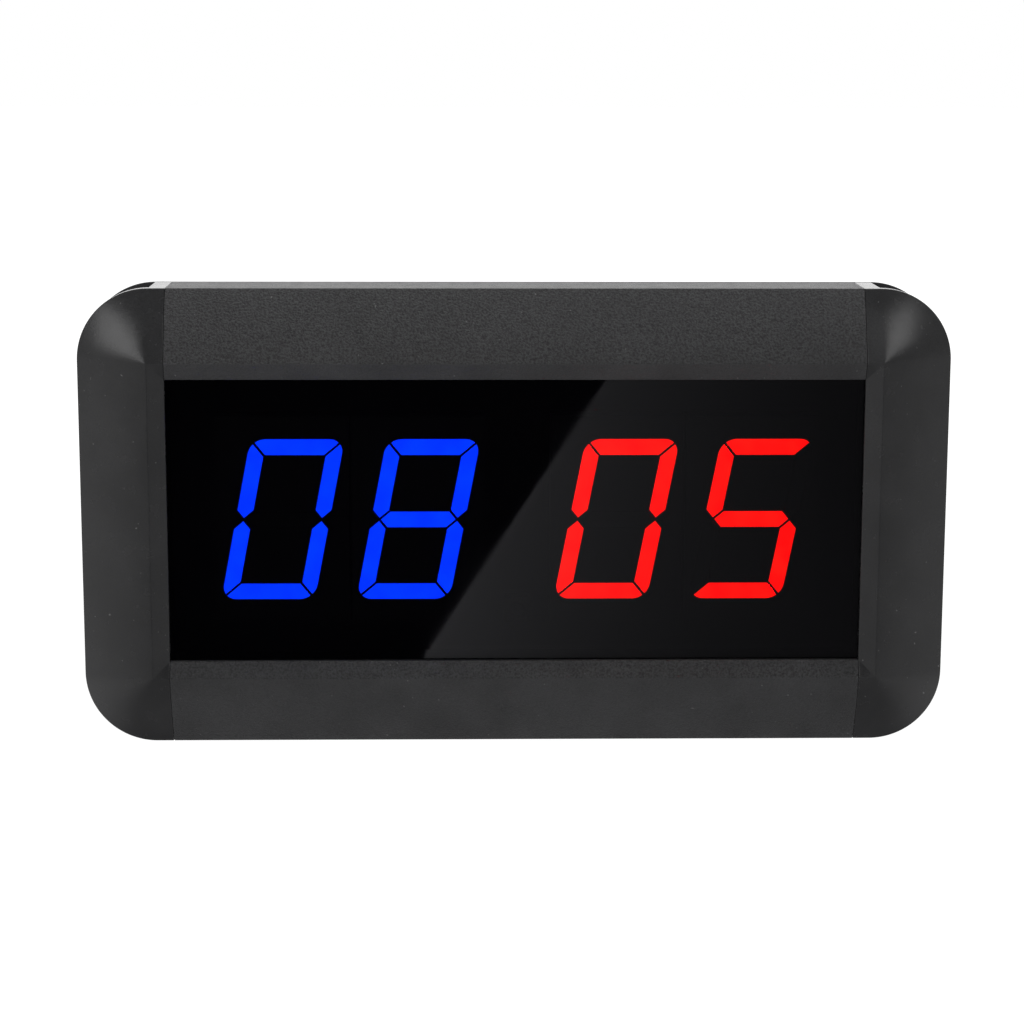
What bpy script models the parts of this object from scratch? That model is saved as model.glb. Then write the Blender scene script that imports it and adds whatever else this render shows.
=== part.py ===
"""Gym round timer: a four-digit LED interval timer in a railed housing with moulded end caps.

The timer stands on its base with its window facing -Y, +X to the right and +Z up.
The origin is at the middle of the base, halfway between the ridge and the rear face.
"""

import math

import bmesh
import bpy
from mathutils import Matrix, Vector

MM = 0.001

# Driving dimensions.
WIDTH = 200 * MM
HEIGHT = 106 * MM
DEPTH = 31 * MM  # from the raised ridge to the rear face
BEVEL = 16.5 * MM  # sloping border outside the ridge, and radius of the outer corners
BEVEL_SETBACK = 7 * MM  # how far the outer front edge lies behind the ridge
BEVEL_BULGE = 0.7 * MM
CHAMFER = 3.8 * MM  # sloping border between the ridge and the window
CHAMFER_SETBACK = 1.8 * MM
LENS_THICKNESS = 2 * MM
BOARD_THICKNESS = 1.6 * MM
WALL = 2 * MM
GAP = 0.3 * MM  # between pieces that touch
COVER_PLATE = 1.5 * MM
FRAME_DEPTH = 24 * MM  # ridge to the rear of the cover's plate
DIGIT_HEIGHT = 37.35 * MM
DIGIT_WIDTH = 21.55 * MM
STROKE = 3.6 * MM  # width of a digit's bars
STROKE_GAP = 0.62 * MM  # between neighbouring bars
DIGIT_CORNER = 3.4 * MM
SLANT = math.radians(10.9)
DIGIT_X = (-53.55 * MM, -22.35 * MM, 23.4 * MM, 54.6 * MM)
FOOT_LENGTH = 58 * MM
ROCKER_TILT = math.radians(-7)  # about +Y at rest; switched over, it tilts as far the other way
BUTTON_TRAVEL = 0.8 * MM
BUTTON_BOARD_DEPTH = 8.3 * MM  # from the side wall's inner face to the button board
TACT_BODY = 2.6 * MM
TACT_PLUNGER = 0.4 * MM

# Worked out from them.
RIDGE_X = WIDTH / 2 - BEVEL
RIDGE_Z = HEIGHT / 2 - BEVEL
WINDOW_X = RIDGE_X - CHAMFER
WINDOW_Z = RIDGE_Z - CHAMFER
SEAM_X = WINDOW_X
MIDDLE_Z = HEIGHT / 2
FRONT = -DEPTH / 2
DIGIT_Z = MIDDLE_Z - 0.2 * MM

# Depths behind the ridge.
LIP_REAR = CHAMFER_SETBACK + 1 * MM
LENS_FRONT = LIP_REAR + GAP
LENS_REAR = LENS_FRONT + LENS_THICKNESS
MODULE_FRONT = LENS_REAR + 0.4 * MM
BOARD_FRONT = 14.2 * MM
BOARD_REAR = BOARD_FRONT + BOARD_THICKNESS
MEMBER_REAR = FRAME_DEPTH - COVER_PLATE - GAP
CONTROL_FRONT = 19.5 * MM
CONTROL_REAR = CONTROL_FRONT + BOARD_THICKNESS
TRAY_INSIDE = DEPTH - WALL

# Distances outward of the ridge.
RIB_IN = -1.2 * MM
RIB_OUT = 0.8 * MM
RIB_REAR = 18 * MM
SLOT_FLOOR = 0  # the slot that holds the display board's edge
LENS_EDGE = RIB_IN - GAP
UNDERSIDE = 2.9 * MM  # depth of the border's inner face where it meets the rib
RAIL_INSIDE = BEVEL - WALL
CAP_INSIDE = BEVEL - 2 * WALL
GROOVE_FLOOR = BEVEL - WALL
GROOVE_FRONT = 9.3 * MM
TRAY_OUT = 12.2 * MM
TRAY_IN = TRAY_OUT - WALL

CORNER_STEPS = 12
POST_OFFSET = 4.8 * MM  # from a ridge corner to its screw post, along both X and Z
POST_RADIUS = 2.8 * MM
POST_PILOT = 1.3 * MM
COVER_SCREW_TOP = DEPTH - 0.15 * MM
CONTROL_Y = FRONT + (GROOVE_FRONT + MEMBER_REAR) / 2  # middle of the side groove
SIDE_FLOOR_X = RIDGE_X + GROOVE_FLOOR
SIDE_INSIDE_X = RIDGE_X + CAP_INSIDE
BUTTON_Z = (MIDDLE_Z + 11 * MM, MIDDLE_Z, MIDDLE_Z - 11 * MM)
BUTTON_HOLE = 3.3 * MM
SOCKET_HOLE = 4.3 * MM
ROCKER_OPENING_Y = 9.1 * MM
ROCKER_OPENING_Z = 14.1 * MM
ROCKER_Z = MIDDLE_Z + 15 * MM
SOCKET_Z = MIDDLE_Z - 15 * MM
FOOT_PIVOT_X = 82 * MM
FOOT_RADIUS = 3.1 * MM
FOOT_Y = FRONT + FRAME_DEPTH + GAP + FOOT_RADIUS
FOOT_TOP = MIDDLE_Z - RIDGE_Z - TRAY_OUT - GAP
FOOT_BOTTOM = 0.2 * MM
KEYHOLE_X = 70 * MM
KEYHOLE_Z = MIDDLE_Z + 22 * MM
BUZZER_X = 33 * MM
BUZZER_Z = MIDDLE_Z - 8 * MM
GRILLE_RINGS = ((0, 1), (3.4 * MM, 6), (6.8 * MM, 12))  # (radius, number of holes)
VENTS = 9
VENT_PITCH = 5 * MM
VENT_HALF_WIDTH = 0.9 * MM

POINT_REARWARD = (-math.pi / 2, 0, 0)
POINT_FORWARD = (math.pi / 2, 0, 0)
POINT_RIGHT = (0, math.pi / 2, 0)
POINT_LEFT = (0, -math.pi / 2, 0)
POINT_UP = (0, 0, 0)


def clear_scene():
    for obj in list(bpy.data.objects):
        bpy.data.objects.remove(obj, do_unlink=True)


def material(name, colour, roughness, metallic=0.0):
    found = bpy.data.materials.get(name)
    if found:
        return found
    made = bpy.data.materials.new(name)
    made.use_nodes = True
    shader = made.node_tree.nodes["Principled BSDF"]
    shader.inputs["Base Color"].default_value = (*colour, 1)
    shader.inputs["Roughness"].default_value = roughness
    shader.inputs["Metallic"].default_value = metallic
    return made


def rail_plastic():
    return material("rail_plastic", (0.045, 0.045, 0.048), 0.62)


def cap_plastic():
    return material("cap_plastic", (0.052, 0.052, 0.056), 0.45)


def cover_plastic():
    return material("cover_plastic", (0.035, 0.035, 0.037), 0.6)


def black_plastic():
    return material("black_plastic", (0.012, 0.012, 0.013), 0.4)


def tinted_acrylic():
    return material("tinted_acrylic", (0.01, 0.01, 0.013), 0.05)


def blue_light():
    return material("blue_light", (0.0, 0.04, 1.0), 0.35)


def red_light():
    return material("red_light", (1.0, 0.0, 0.0), 0.35)


def board_green():
    return material("board_green", (0.01, 0.11, 0.05), 0.4)


def bright_metal():
    return material("bright_metal", (0.62, 0.62, 0.64), 0.3, 1.0)


def black_rubber():
    return material("black_rubber", (0.015, 0.015, 0.015), 0.85)


def wire_red():
    return material("wire_red", (0.5, 0.02, 0.02), 0.5)


def add_object(name, bm, mat, location=(0, 0, 0), rotation=(0, 0, 0)):
    """Turns a bmesh into a scene object with outward faces, smooth where the turn is gentle."""
    bmesh.ops.recalc_face_normals(bm, faces=bm.faces)
    mesh = bpy.data.meshes.new(name)
    bm.to_mesh(mesh)
    bm.free()
    mesh.shade_smooth()
    mesh.set_sharp_from_angle(angle=math.radians(32))
    mesh.materials.append(mat)
    obj = bpy.data.objects.new(name, mesh)
    obj.location = location
    obj.rotation_euler = rotation
    bpy.context.scene.collection.objects.link(obj)
    return obj


def use_as_tool(obj, target, operation):
    """Hides obj and applies it to target through a Boolean modifier."""
    obj.hide_render = True
    obj.display_type = "WIRE"
    modifier = target.modifiers.new(obj.name, "BOOLEAN")
    modifier.operation = operation
    modifier.solver = "EXACT"
    modifier.object = obj


def cut(target, *cutters):
    for cutter in cutters:
        use_as_tool(cutter, target, "DIFFERENCE")


def weld(target, *additions):
    for addition in additions:
        use_as_tool(addition, target, "UNION")


def skin_rows(rows, capped=True):
    """A bmesh through rows of points, each row a loop around the piece."""
    bm = bmesh.new()
    rings = []
    for row in rows:
        rings.append([bm.verts.new(point) for point in row])
    for near, far in zip(rings, rings[1:]):
        count = len(near)
        for i in range(count):
            j = (i + 1) % count
            bm.faces.new((near[i], near[j], far[j], far[i]))
    if capped:
        bm.faces.new(rings[0][::-1])
        bm.faces.new(rings[-1])
    bmesh.ops.remove_doubles(bm, verts=bm.verts, dist=1e-7)
    return bm


def block(name, size, location, mat, edge=0.0):
    """A rectangular piece centred on location, with chamfered edges if edge is given."""
    bm = bmesh.new()
    bmesh.ops.create_cube(bm, size=1.0)
    bmesh.ops.scale(bm, vec=size, verts=bm.verts)
    if edge:
        bmesh.ops.bevel(bm, geom=bm.edges, offset=edge, segments=1, affect="EDGES")
    return add_object(name, bm, mat, location)


def between(name, low, high, mat, edge=0.0):
    """A rectangular piece from its lowest to its highest corner."""
    low = Vector(low)
    high = Vector(high)
    return block(name, high - low, (low + high) / 2, mat, edge)


def turned(name, profile, mat, location, rotation, sides=24):
    """A round piece about its local +Z axis, from (radius, height) points that start and end on it."""
    bm = bmesh.new()
    rings = []
    for radius, height in profile:
        if radius == 0:
            rings.append([bm.verts.new((0, 0, height))])
            continue
        turn = [2 * math.pi * i / sides for i in range(sides)]
        rings.append([bm.verts.new((radius * math.cos(a), radius * math.sin(a), height)) for a in turn])
    for near, far in zip(rings, rings[1:]):
        for i in range(sides):
            j = (i + 1) % sides
            corners = [near[i % len(near)], near[j % len(near)], far[j % len(far)], far[i % len(far)]]
            bm.faces.new(list(dict.fromkeys(corners)))
    return add_object(name, bm, mat, location, rotation)


def cylinder(name, radius, start, end, mat, location, rotation, sides=24):
    profile = [(0, start), (radius, start), (radius, end), (0, end)]
    return turned(name, profile, mat, location, rotation, sides)


def prism(name, outline, low, high, mat, location=(0, 0, 0)):
    """An outline of (x, z) points made solid from y = low to y = high."""
    rows = [[(x, y, z) for x, z in outline] for y in (low, high)]
    return add_object(name, skin_rows(rows), mat, location)


def bevel_curve(steps=5):
    """The sloping outer border from the ridge to the outer front edge, bulging forward a little."""
    length = math.hypot(BEVEL, BEVEL_SETBACK)
    points = []
    for i in range(steps + 1):
        t = i / steps
        bulge = 4 * BEVEL_BULGE * t * (1 - t)
        out = BEVEL * t + bulge * BEVEL_SETBACK / length
        back = BEVEL_SETBACK * t - bulge * BEVEL / length
        points.append((out, back))
    return points


def frame_section(inside, outside=BEVEL):
    """Section of the frame members as (distance outward of the ridge, depth behind it).
    The outer wall is thinner behind its front lip where outside is less than BEVEL."""
    slope = BEVEL_SETBACK / BEVEL
    section = [(-CHAMFER, CHAMFER_SETBACK)]
    section += bevel_curve()
    section += [
        (BEVEL, GROOVE_FRONT),
        (outside, GROOVE_FRONT),
        (outside, MEMBER_REAR),
        (GROOVE_FLOOR, MEMBER_REAR),
        (inside, MEMBER_REAR),
        (inside, UNDERSIDE + (inside - RIB_OUT) * slope),
        (RIB_OUT, UNDERSIDE),
        (RIB_OUT, RIB_REAR),
        (RIB_IN, RIB_REAR),
        (RIB_IN, BOARD_REAR + GAP),
        (SLOT_FLOOR, BOARD_REAR + GAP),
        (SLOT_FLOOR, BOARD_FRONT - GAP),
        (RIB_IN, BOARD_FRONT - GAP),
        (RIB_IN, LIP_REAR),
        (-CHAMFER, LIP_REAR),
    ]
    return section


def straight_row(section, x, up):
    """The section placed across a straight top (up = 1) or bottom (up = -1) member."""
    return [(x, FRONT + back, MIDDLE_Z + up * (RIDGE_Z + out)) for out, back in section]


def corner_row(section, side, up, angle):
    """The section turned about a ridge corner; what lies inside the ridge meets at a mitre."""
    row = []
    for out, back in section:
        inset = min(out, 0)
        reach = max(out, 0)
        x = RIDGE_X + inset + reach * math.cos(angle)
        z = up * (RIDGE_Z + inset + reach * math.sin(angle))
        row.append((side * x, FRONT + back, MIDDLE_Z + z))
    return row


def side_rows(section, side):
    """The section carried round the top corner, down the side and round the bottom corner."""
    angles = [math.pi / 2 * i / CORNER_STEPS for i in range(CORNER_STEPS + 1)]
    rows = [corner_row(section, side, 1, angle) for angle in reversed(angles)]
    rows += [corner_row(section, side, -1, angle) for angle in angles]
    return rows


def rounded_loop(out, back):
    """A closed loop at one distance outward of the ridge and one depth behind it."""
    right = [row[0] for row in side_rows([(out, back)], 1)]
    left = [row[0] for row in side_rows([(out, back)], -1)]
    return right + left[::-1]


def make_rail(name, up):
    section = frame_section(RAIL_INSIDE)
    half = SEAM_X - GAP
    rows = [straight_row(section, -half, up), straight_row(section, half, up)]
    return add_object(name, skin_rows(rows), rail_plastic())


def make_cap_shell(name, side):
    """One end cap with its side groove, end webs, rail tongues and screw posts."""
    plain = frame_section(CAP_INSIDE)
    upright = math.pi / 2
    rows = [straight_row(plain, side * SEAM_X, 1), corner_row(plain, side, 1, upright)]
    rows += side_rows(frame_section(CAP_INSIDE, GROOVE_FLOOR), side)
    rows += [corner_row(plain, side, -1, upright), straight_row(plain, side * SEAM_X, -1)]
    cap = add_object(name, skin_rows(rows), cap_plastic())

    for up, level in ((1, "top"), (-1, "bottom")):
        weld(cap, make_end_web(f"{name}_{level}_web", side, up))
        weld(cap, make_tongue(f"{name}_{level}_tongue", side, up))
        post_x, post_z = post_place(side, up)
        post = cylinder(
            f"{name}_{level}_post", POST_RADIUS, 5 * MM, TRAY_INSIDE - GAP, cap_plastic(),
            (post_x, FRONT, post_z), POINT_REARWARD, 20,
        )
        weld(cap, post)
        pilot = cylinder(
            f"{name}_{level}_pilot", POST_PILOT, 14 * MM, DEPTH, cap_plastic(),
            (post_x, FRONT, post_z), POINT_REARWARD, 12,
        )
        cut(cap, pilot)
    return cap


def make_end_web(name, side, up):
    """The wall that closes the end of an end cap where it meets a rail."""
    near = side * (SEAM_X + 0.2 * MM)
    far = side * (SEAM_X + 0.2 * MM + WALL)
    inner = up * (RIDGE_Z + RIB_OUT / 2)
    outer = up * (RIDGE_Z + CAP_INSIDE + WALL / 2)
    low = (min(near, far), FRONT + 7.6 * MM, MIDDLE_Z + min(inner, outer))
    high = (max(near, far), FRONT + MEMBER_REAR - GAP, MIDDLE_Z + max(inner, outer))
    return between(name, low, high, cap_plastic())


def make_tongue(name, side, up):
    """The block that plugs the end cap into the rail's channel."""
    near = side * (SEAM_X + WALL / 2)
    far = side * (SEAM_X - 9 * MM)
    inner = up * (RIDGE_Z + 7 * MM)
    outer = up * (RIDGE_Z + RAIL_INSIDE - GAP)
    low = (min(near, far), FRONT + 9.5 * MM, MIDDLE_Z + min(inner, outer))
    high = (max(near, far), FRONT + 19 * MM, MIDDLE_Z + max(inner, outer))
    return between(name, low, high, cap_plastic(), edge=0.5 * MM)


def post_place(side, up):
    """Where a corner's screw post stands, on the corner's diagonal."""
    return side * (RIDGE_X + POST_OFFSET), MIDDLE_Z + up * (RIDGE_Z + POST_OFFSET)


def make_left_cap():
    cap = make_cap_shell("left_end_cap", -1)
    for index, z in enumerate(BUTTON_Z, 1):
        hole = cylinder(
            f"button_hole_{index}", BUTTON_HOLE, -1 * MM, 4 * MM, cap_plastic(),
            (-SIDE_INSIDE_X, CONTROL_Y, z), POINT_LEFT, 20,
        )
        cut(cap, hole)
    for index, z in enumerate(board_post_places(), 1):
        post = cylinder(
            f"board_post_{index}", 2.2 * MM, GAP - BUTTON_BOARD_DEPTH, 1 * MM, cap_plastic(),
            (-SIDE_INSIDE_X, CONTROL_Y, z), POINT_LEFT, 16,
        )
        weld(cap, post)
        pilot = cylinder(
            f"board_post_pilot_{index}", 1.1 * MM, -BUTTON_BOARD_DEPTH, -2 * MM, cap_plastic(),
            (-SIDE_INSIDE_X, CONTROL_Y, z), POINT_LEFT, 12,
        )
        cut(cap, pilot)


def board_post_places():
    return MIDDLE_Z + 20 * MM, MIDDLE_Z - 20 * MM


def make_right_cap():
    cap = make_cap_shell("right_end_cap", 1)
    opening = block(
        "rocker_opening_cutter", (8 * MM, ROCKER_OPENING_Y, ROCKER_OPENING_Z),
        (SIDE_INSIDE_X, CONTROL_Y, ROCKER_Z), cap_plastic(),
    )
    socket_hole = cylinder(
        "socket_hole_cutter", SOCKET_HOLE, -1 * MM, 4 * MM, cap_plastic(),
        (SIDE_INSIDE_X, CONTROL_Y, SOCKET_Z), POINT_RIGHT, 28,
    )
    cut(cap, opening, socket_hole)


def make_lens():
    edge_x = RIDGE_X + LENS_EDGE
    edge_z = RIDGE_Z + LENS_EDGE
    low = (-edge_x, FRONT + LENS_FRONT, MIDDLE_Z - edge_z)
    high = (edge_x, FRONT + LENS_REAR, MIDDLE_Z + edge_z)
    between("front_lens", low, high, tinted_acrylic())


def make_spacer_frame():
    """The black ring between the lens and the display board."""
    outer_x = RIDGE_X + LENS_EDGE
    outer_z = RIDGE_Z + LENS_EDGE
    inner_x = WINDOW_X + 0.2 * MM
    inner_z = WINDOW_Z + 0.2 * MM
    front = FRONT + LENS_REAR + GAP
    rear = FRONT + BOARD_FRONT - GAP
    outer = ((-outer_x, -outer_z), (outer_x, -outer_z), (outer_x, outer_z), (-outer_x, outer_z))
    inner = ((-inner_x, -inner_z), (inner_x, -inner_z), (inner_x, inner_z), (-inner_x, inner_z))
    loops = ((outer, front), (outer, rear), (inner, rear), (inner, front), (outer, front))
    rows = [[(x, y, MIDDLE_Z + z) for x, z in loop] for loop, y in loops]
    add_object("lens_spacer_frame", skin_rows(rows, capped=False), black_plastic())


def slanted(outline):
    """Shears upright digit points to the digit's slant."""
    return [(x + z * math.tan(SLANT), z) for x, z in outline]


def segment_outlines(grow=0.0, arc_steps=3):
    """Seven bars of a digit about its middle, in the order top, upper right, lower right, bottom,
    lower left, upper left and middle. They meet at mitres and share rounded outer corners."""
    half_w = DIGIT_WIDTH / 2 + grow
    half_h = DIGIT_HEIGHT / 2 + grow
    stroke = STROKE + 2 * grow
    apart = (STROKE_GAP - 2 * grow) / math.sqrt(2)
    radius = DIGIT_CORNER + grow

    def arc(start, end):
        points = []
        for i in range(arc_steps + 1):
            angle = math.radians(start + (end - start) * i / arc_steps)
            x = half_w - radius + radius * math.cos(angle)
            z = half_h - radius + radius * math.sin(angle)
            points.append((x, z))
        return points

    past = math.degrees(apart / radius) / math.sqrt(2)
    top_right = arc(45 + past, 90)
    inner_x = half_w - stroke
    top = [(inner_x - apart, half_h - stroke)] + top_right
    top += [(-x, z) for x, z in reversed(top)]
    upper_right = arc(0, 45 - past)
    upper_right += [(inner_x, half_h - stroke - apart), (inner_x, stroke / 2 + apart)]
    upper_right += [(half_w - stroke / 2, apart), (half_w, stroke / 2 + apart)]
    middle = [(inner_x - apart, stroke / 2), (half_w - stroke / 2 - apart, 0), (inner_x - apart, -stroke / 2)]
    middle += [(-x, -z) for x, z in middle]
    return [
        top,
        upper_right,
        [(x, -z) for x, z in upper_right],
        [(x, -z) for x, z in top],
        [(-x, -z) for x, z in upper_right],
        [(-x, z) for x, z in upper_right],
        middle,
    ]


def make_digit(index, x, light):
    """A digit module: a black reflector housing and the light guide whose bars show through it."""
    module_w = 30.6 * MM
    module_h = 48 * MM
    face = 1.2 * MM
    shell = 1.2 * MM
    front = FRONT + MODULE_FRONT
    rear = FRONT + BOARD_FRONT - GAP
    place = (x, 0, DIGIT_Z)
    low = (x - module_w / 2, front, DIGIT_Z - module_h / 2)
    high = (x + module_w / 2, rear, DIGIT_Z + module_h / 2)
    housing = between(f"digit_housing_{index}", low, high, black_plastic())
    hollow = between(
        f"digit_hollow_{index}",
        (low[0] + shell, front + face, low[2] + shell),
        (high[0] - shell, rear + 1 * MM, high[2] - shell),
        black_plastic(),
    )
    cut(housing, hollow)

    clearance = 0.08 * MM
    plate_front = front + face + GAP
    inset = shell + GAP
    guide = between(
        f"digit_light_guide_{index}",
        (low[0] + inset, plate_front, low[2] + inset),
        (high[0] - inset, plate_front + 1.2 * MM, high[2] - inset),
        light,
    )
    for number, outline in enumerate(segment_outlines(clearance), 1):
        hole = prism(
            f"digit_{index}_window_{number}", slanted(outline),
            front - 1 * MM, front + 2 * MM, black_plastic(), place,
        )
        cut(housing, hole)
    for number, outline in enumerate(segment_outlines(), 1):
        bar = prism(
            f"digit_{index}_bar_{number}", slanted(outline),
            front + 0.15 * MM, plate_front + 0.6 * MM, light, place,
        )
        weld(guide, bar)


def make_display():
    edge_x = RIDGE_X + SLOT_FLOOR - GAP
    edge_z = RIDGE_Z + SLOT_FLOOR - GAP
    low = (-edge_x, FRONT + BOARD_FRONT, MIDDLE_Z - edge_z)
    high = (edge_x, FRONT + BOARD_REAR, MIDDLE_Z + edge_z)
    between("display_board", low, high, board_green())
    for index, x in enumerate(DIGIT_X, 1):
        make_digit(index, x, blue_light() if index <= 2 else red_light())


def make_infrared_receiver():
    """A small receiver between the two pairs of digits, with its domed eye to the front."""
    place_z = MIDDLE_Z - 22 * MM
    rear = FRONT + BOARD_FRONT - GAP
    front = FRONT + 8.5 * MM
    body = between(
        "infrared_receiver",
        (-2.5 * MM, front, place_z - 3.2 * MM), (3.5 * MM, front + 3.4 * MM, place_z + 3.2 * MM),
        black_plastic(), edge=0.3 * MM,
    )
    dome = [(0, -1 * MM), (2 * MM, -1 * MM), (2 * MM, 0.6 * MM), (1.4 * MM, 1.5 * MM), (0, 1.9 * MM)]
    weld(body, turned("receiver_eye", dome, black_plastic(), (0.5 * MM, front, place_z), POINT_FORWARD, 16))
    for number, x in enumerate((-1.5 * MM, 0.5 * MM, 2.5 * MM), 1):
        leg = between(
            f"receiver_leg_{number}",
            (x - 0.3 * MM, front + 2 * MM, place_z - 2.6 * MM), (x + 0.3 * MM, rear, place_z - 2 * MM),
            bright_metal(),
        )
        weld(body, leg)


def make_control_board():
    between(
        "control_board",
        (-50 * MM, FRONT + CONTROL_FRONT, MIDDLE_Z - 26 * MM),
        (50 * MM, FRONT + CONTROL_REAR, MIDDLE_Z + 26 * MM),
        board_green(),
    )
    board = bpy.data.objects["control_board"]
    corners = [(x * 45 * MM, MIDDLE_Z + z * 21.5 * MM) for x in (-1, 1) for z in (1, -1)]
    for index, (x, z) in enumerate(corners, 1):
        front = BOARD_REAR + GAP
        rear = CONTROL_FRONT - GAP
        hole = cylinder(
            f"board_hole_{index}", 1.6 * MM, CONTROL_FRONT - 1 * MM, CONTROL_REAR + 1 * MM,
            board_green(), (x, FRONT, z), POINT_REARWARD, 16,
        )
        cut(board, hole)
        spacer = cylinder(
            f"board_spacer_{index}", 2.6 * MM, front, rear, bright_metal(), (x, FRONT, z), POINT_REARWARD, 6,
        )
        bore = cylinder(
            f"spacer_bore_{index}", 1.5 * MM, front + 0.5 * MM, rear + 1 * MM,
            bright_metal(), (x, FRONT, z), POINT_REARWARD, 12,
        )
        cut(spacer, bore)
        make_pan_screw(f"board_screw_{index}", (x, FRONT + CONTROL_REAR + GAP, z), POINT_REARWARD, 4.2 * MM)


def make_pan_screw(name, head_seat, rotation, shank_length):
    """A pan-head cross-recess screw; local +Z is the way its head faces, 0 its seat."""
    shank = 1.1 * MM
    head = 2.4 * MM
    profile = [
        (0, -shank_length), (shank * 0.6, -shank_length), (shank, -shank_length + 0.5 * MM),
        (shank, 0), (head, 0), (head, 0.7 * MM), (head * 0.75, 1.4 * MM), (0, 1.5 * MM),
    ]
    screw = turned(name, profile, bright_metal(), head_seat, rotation, 16)
    cut_cross(screw, head_seat, rotation, 1.5 * MM, 1.3 * MM)


def cut_cross(screw, place, rotation, top, half_length):
    for turn in (0, math.pi / 2):
        bm = bmesh.new()
        bmesh.ops.create_cube(bm, size=1.0)
        bmesh.ops.scale(bm, vec=(2 * half_length, 0.5 * MM, 2 * MM), verts=bm.verts)
        bmesh.ops.rotate(bm, cent=(0, 0, 0), matrix=Matrix.Rotation(turn, 3, "Z"), verts=bm.verts)
        bmesh.ops.translate(bm, vec=(0, 0, top + 0.2 * MM), verts=bm.verts)
        cutter = add_object(f"{screw.name}_cross", bm, bright_metal(), place, rotation)
        cut(screw, cutter)


def make_board_parts():
    """Parts on the rear of the control board and the header between the boards."""
    rear = FRONT + CONTROL_REAR + GAP
    between(
        "pin_header", (-12 * MM, FRONT + BOARD_REAR + GAP, MIDDLE_Z - 24 * MM),
        (12 * MM, FRONT + CONTROL_FRONT - GAP, MIDDLE_Z - 21.4 * MM), black_plastic(), edge=0.2 * MM,
    )
    between(
        "microcontroller", (-7 * MM, rear, MIDDLE_Z - 2 * MM), (3 * MM, rear + 1.6 * MM, MIDDLE_Z + 8 * MM),
        black_plastic(), edge=0.2 * MM,
    )
    for index, z in enumerate((MIDDLE_Z + 13 * MM, MIDDLE_Z + 2 * MM), 1):
        profile = [(0, 0), (3.9 * MM, 0), (3.9 * MM, 5.6 * MM), (3.5 * MM, 6 * MM), (0, 6 * MM)]
        turned(f"capacitor_{index}", profile, bright_metal(), (13 * MM, rear, z), POINT_REARWARD, 20)
    cell_place = (-29 * MM, rear, MIDDLE_Z + 2 * MM)
    holder = [
        (0, 0), (11.4 * MM, 0), (11.4 * MM, 3.4 * MM), (10.4 * MM, 3.4 * MM),
        (10.4 * MM, 0.8 * MM), (0, 0.8 * MM),
    ]
    turned("coin_cell_holder", holder, black_plastic(), cell_place, POINT_REARWARD, 28)
    cell = [
        (0, 1.1 * MM), (8.8 * MM, 1.1 * MM), (10 * MM, 1.9 * MM), (10 * MM, 4 * MM),
        (9.7 * MM, 4.3 * MM), (0, 4.3 * MM),
    ]
    turned("coin_cell", cell, bright_metal(), cell_place, POINT_REARWARD, 28)
    buzzer = [
        (0, 0), (10.5 * MM, 0), (11 * MM, 0.5 * MM), (11 * MM, 6.3 * MM), (10.4 * MM, 6.9 * MM),
        (2 * MM, 6.9 * MM), (2 * MM, 5 * MM), (0, 5 * MM),
    ]
    turned("buzzer", buzzer, black_plastic(), (BUZZER_X, rear, BUZZER_Z), POINT_REARWARD, 28)


def make_back_cover():
    """A plate over the frame's rear with a shallow tray raised from it."""
    plate_front = FRAME_DEPTH - COVER_PLATE
    edge = 0.8 * MM
    loops = [
        (TRAY_IN, TRAY_INSIDE), (TRAY_IN, plate_front), (BEVEL, plate_front), (BEVEL, FRAME_DEPTH),
        (TRAY_OUT, FRAME_DEPTH), (TRAY_OUT, DEPTH - edge), (TRAY_OUT - edge, DEPTH),
    ]
    rows = [rounded_loop(out, back) for out, back in loops]
    cover = add_object("back_cover", skin_rows(rows), cover_plastic())
    cut_screw_seats(cover)
    cut_keyholes(cover)
    cut_grille(cover)
    cut_vents(cover)
    for side in (-1, 1):
        add_foot_boss(cover, side)


def cut_screw_seats(cover):
    for side in (-1, 1):
        for up in (-1, 1):
            x, z = post_place(side, up)
            seat = [
                (0, TRAY_INSIDE - 1 * MM),
                (1.7 * MM, TRAY_INSIDE - 1 * MM),
                (1.7 * MM, TRAY_INSIDE + 0.5 * MM),
                (3.1 * MM, DEPTH - 0.1 * MM), (3.1 * MM, DEPTH + 1 * MM), (0, DEPTH + 1 * MM),
            ]
            cutter = turned("screw_seat_cutter", seat, cover_plastic(), (x, FRONT, z), POINT_REARWARD, 16)
            cut(cover, cutter)


def keyhole_outline(steps=8):
    """A round entry with a slot above it, about the middle of the round."""
    head = 4.7 * MM
    slot = 2.5 * MM
    slot_top = 10 * MM
    join = math.asin(slot / head)
    outline = []
    for i in range(2 * steps + 1):
        angle = math.pi / 2 + join + (2 * math.pi - 2 * join) * i / (2 * steps)
        outline.append((head * math.cos(angle), head * math.sin(angle)))
    for i in range(steps + 1):
        angle = math.pi * i / steps
        outline.append((slot * math.cos(angle), slot_top + slot * math.sin(angle)))
    return outline


def cut_keyholes(cover):
    for side in (-1, 1):
        cutter = prism(
            "keyhole_cutter", keyhole_outline(), FRONT + TRAY_INSIDE - 1 * MM, FRONT + DEPTH + 1 * MM,
            cover_plastic(), (side * KEYHOLE_X, 0, KEYHOLE_Z),
        )
        cut(cover, cutter)


def cut_grille(cover):
    """Holes in rings over the buzzer."""
    for ring, count in GRILLE_RINGS:
        for i in range(count):
            angle = 2 * math.pi * i / count
            place = (BUZZER_X + ring * math.cos(angle), FRONT, BUZZER_Z + ring * math.sin(angle))
            cutter = cylinder(
                "grille_cutter", 0.9 * MM, TRAY_INSIDE - 1 * MM, DEPTH + 1 * MM,
                cover_plastic(), place, POINT_REARWARD, 8,
            )
            cut(cover, cutter)


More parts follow.
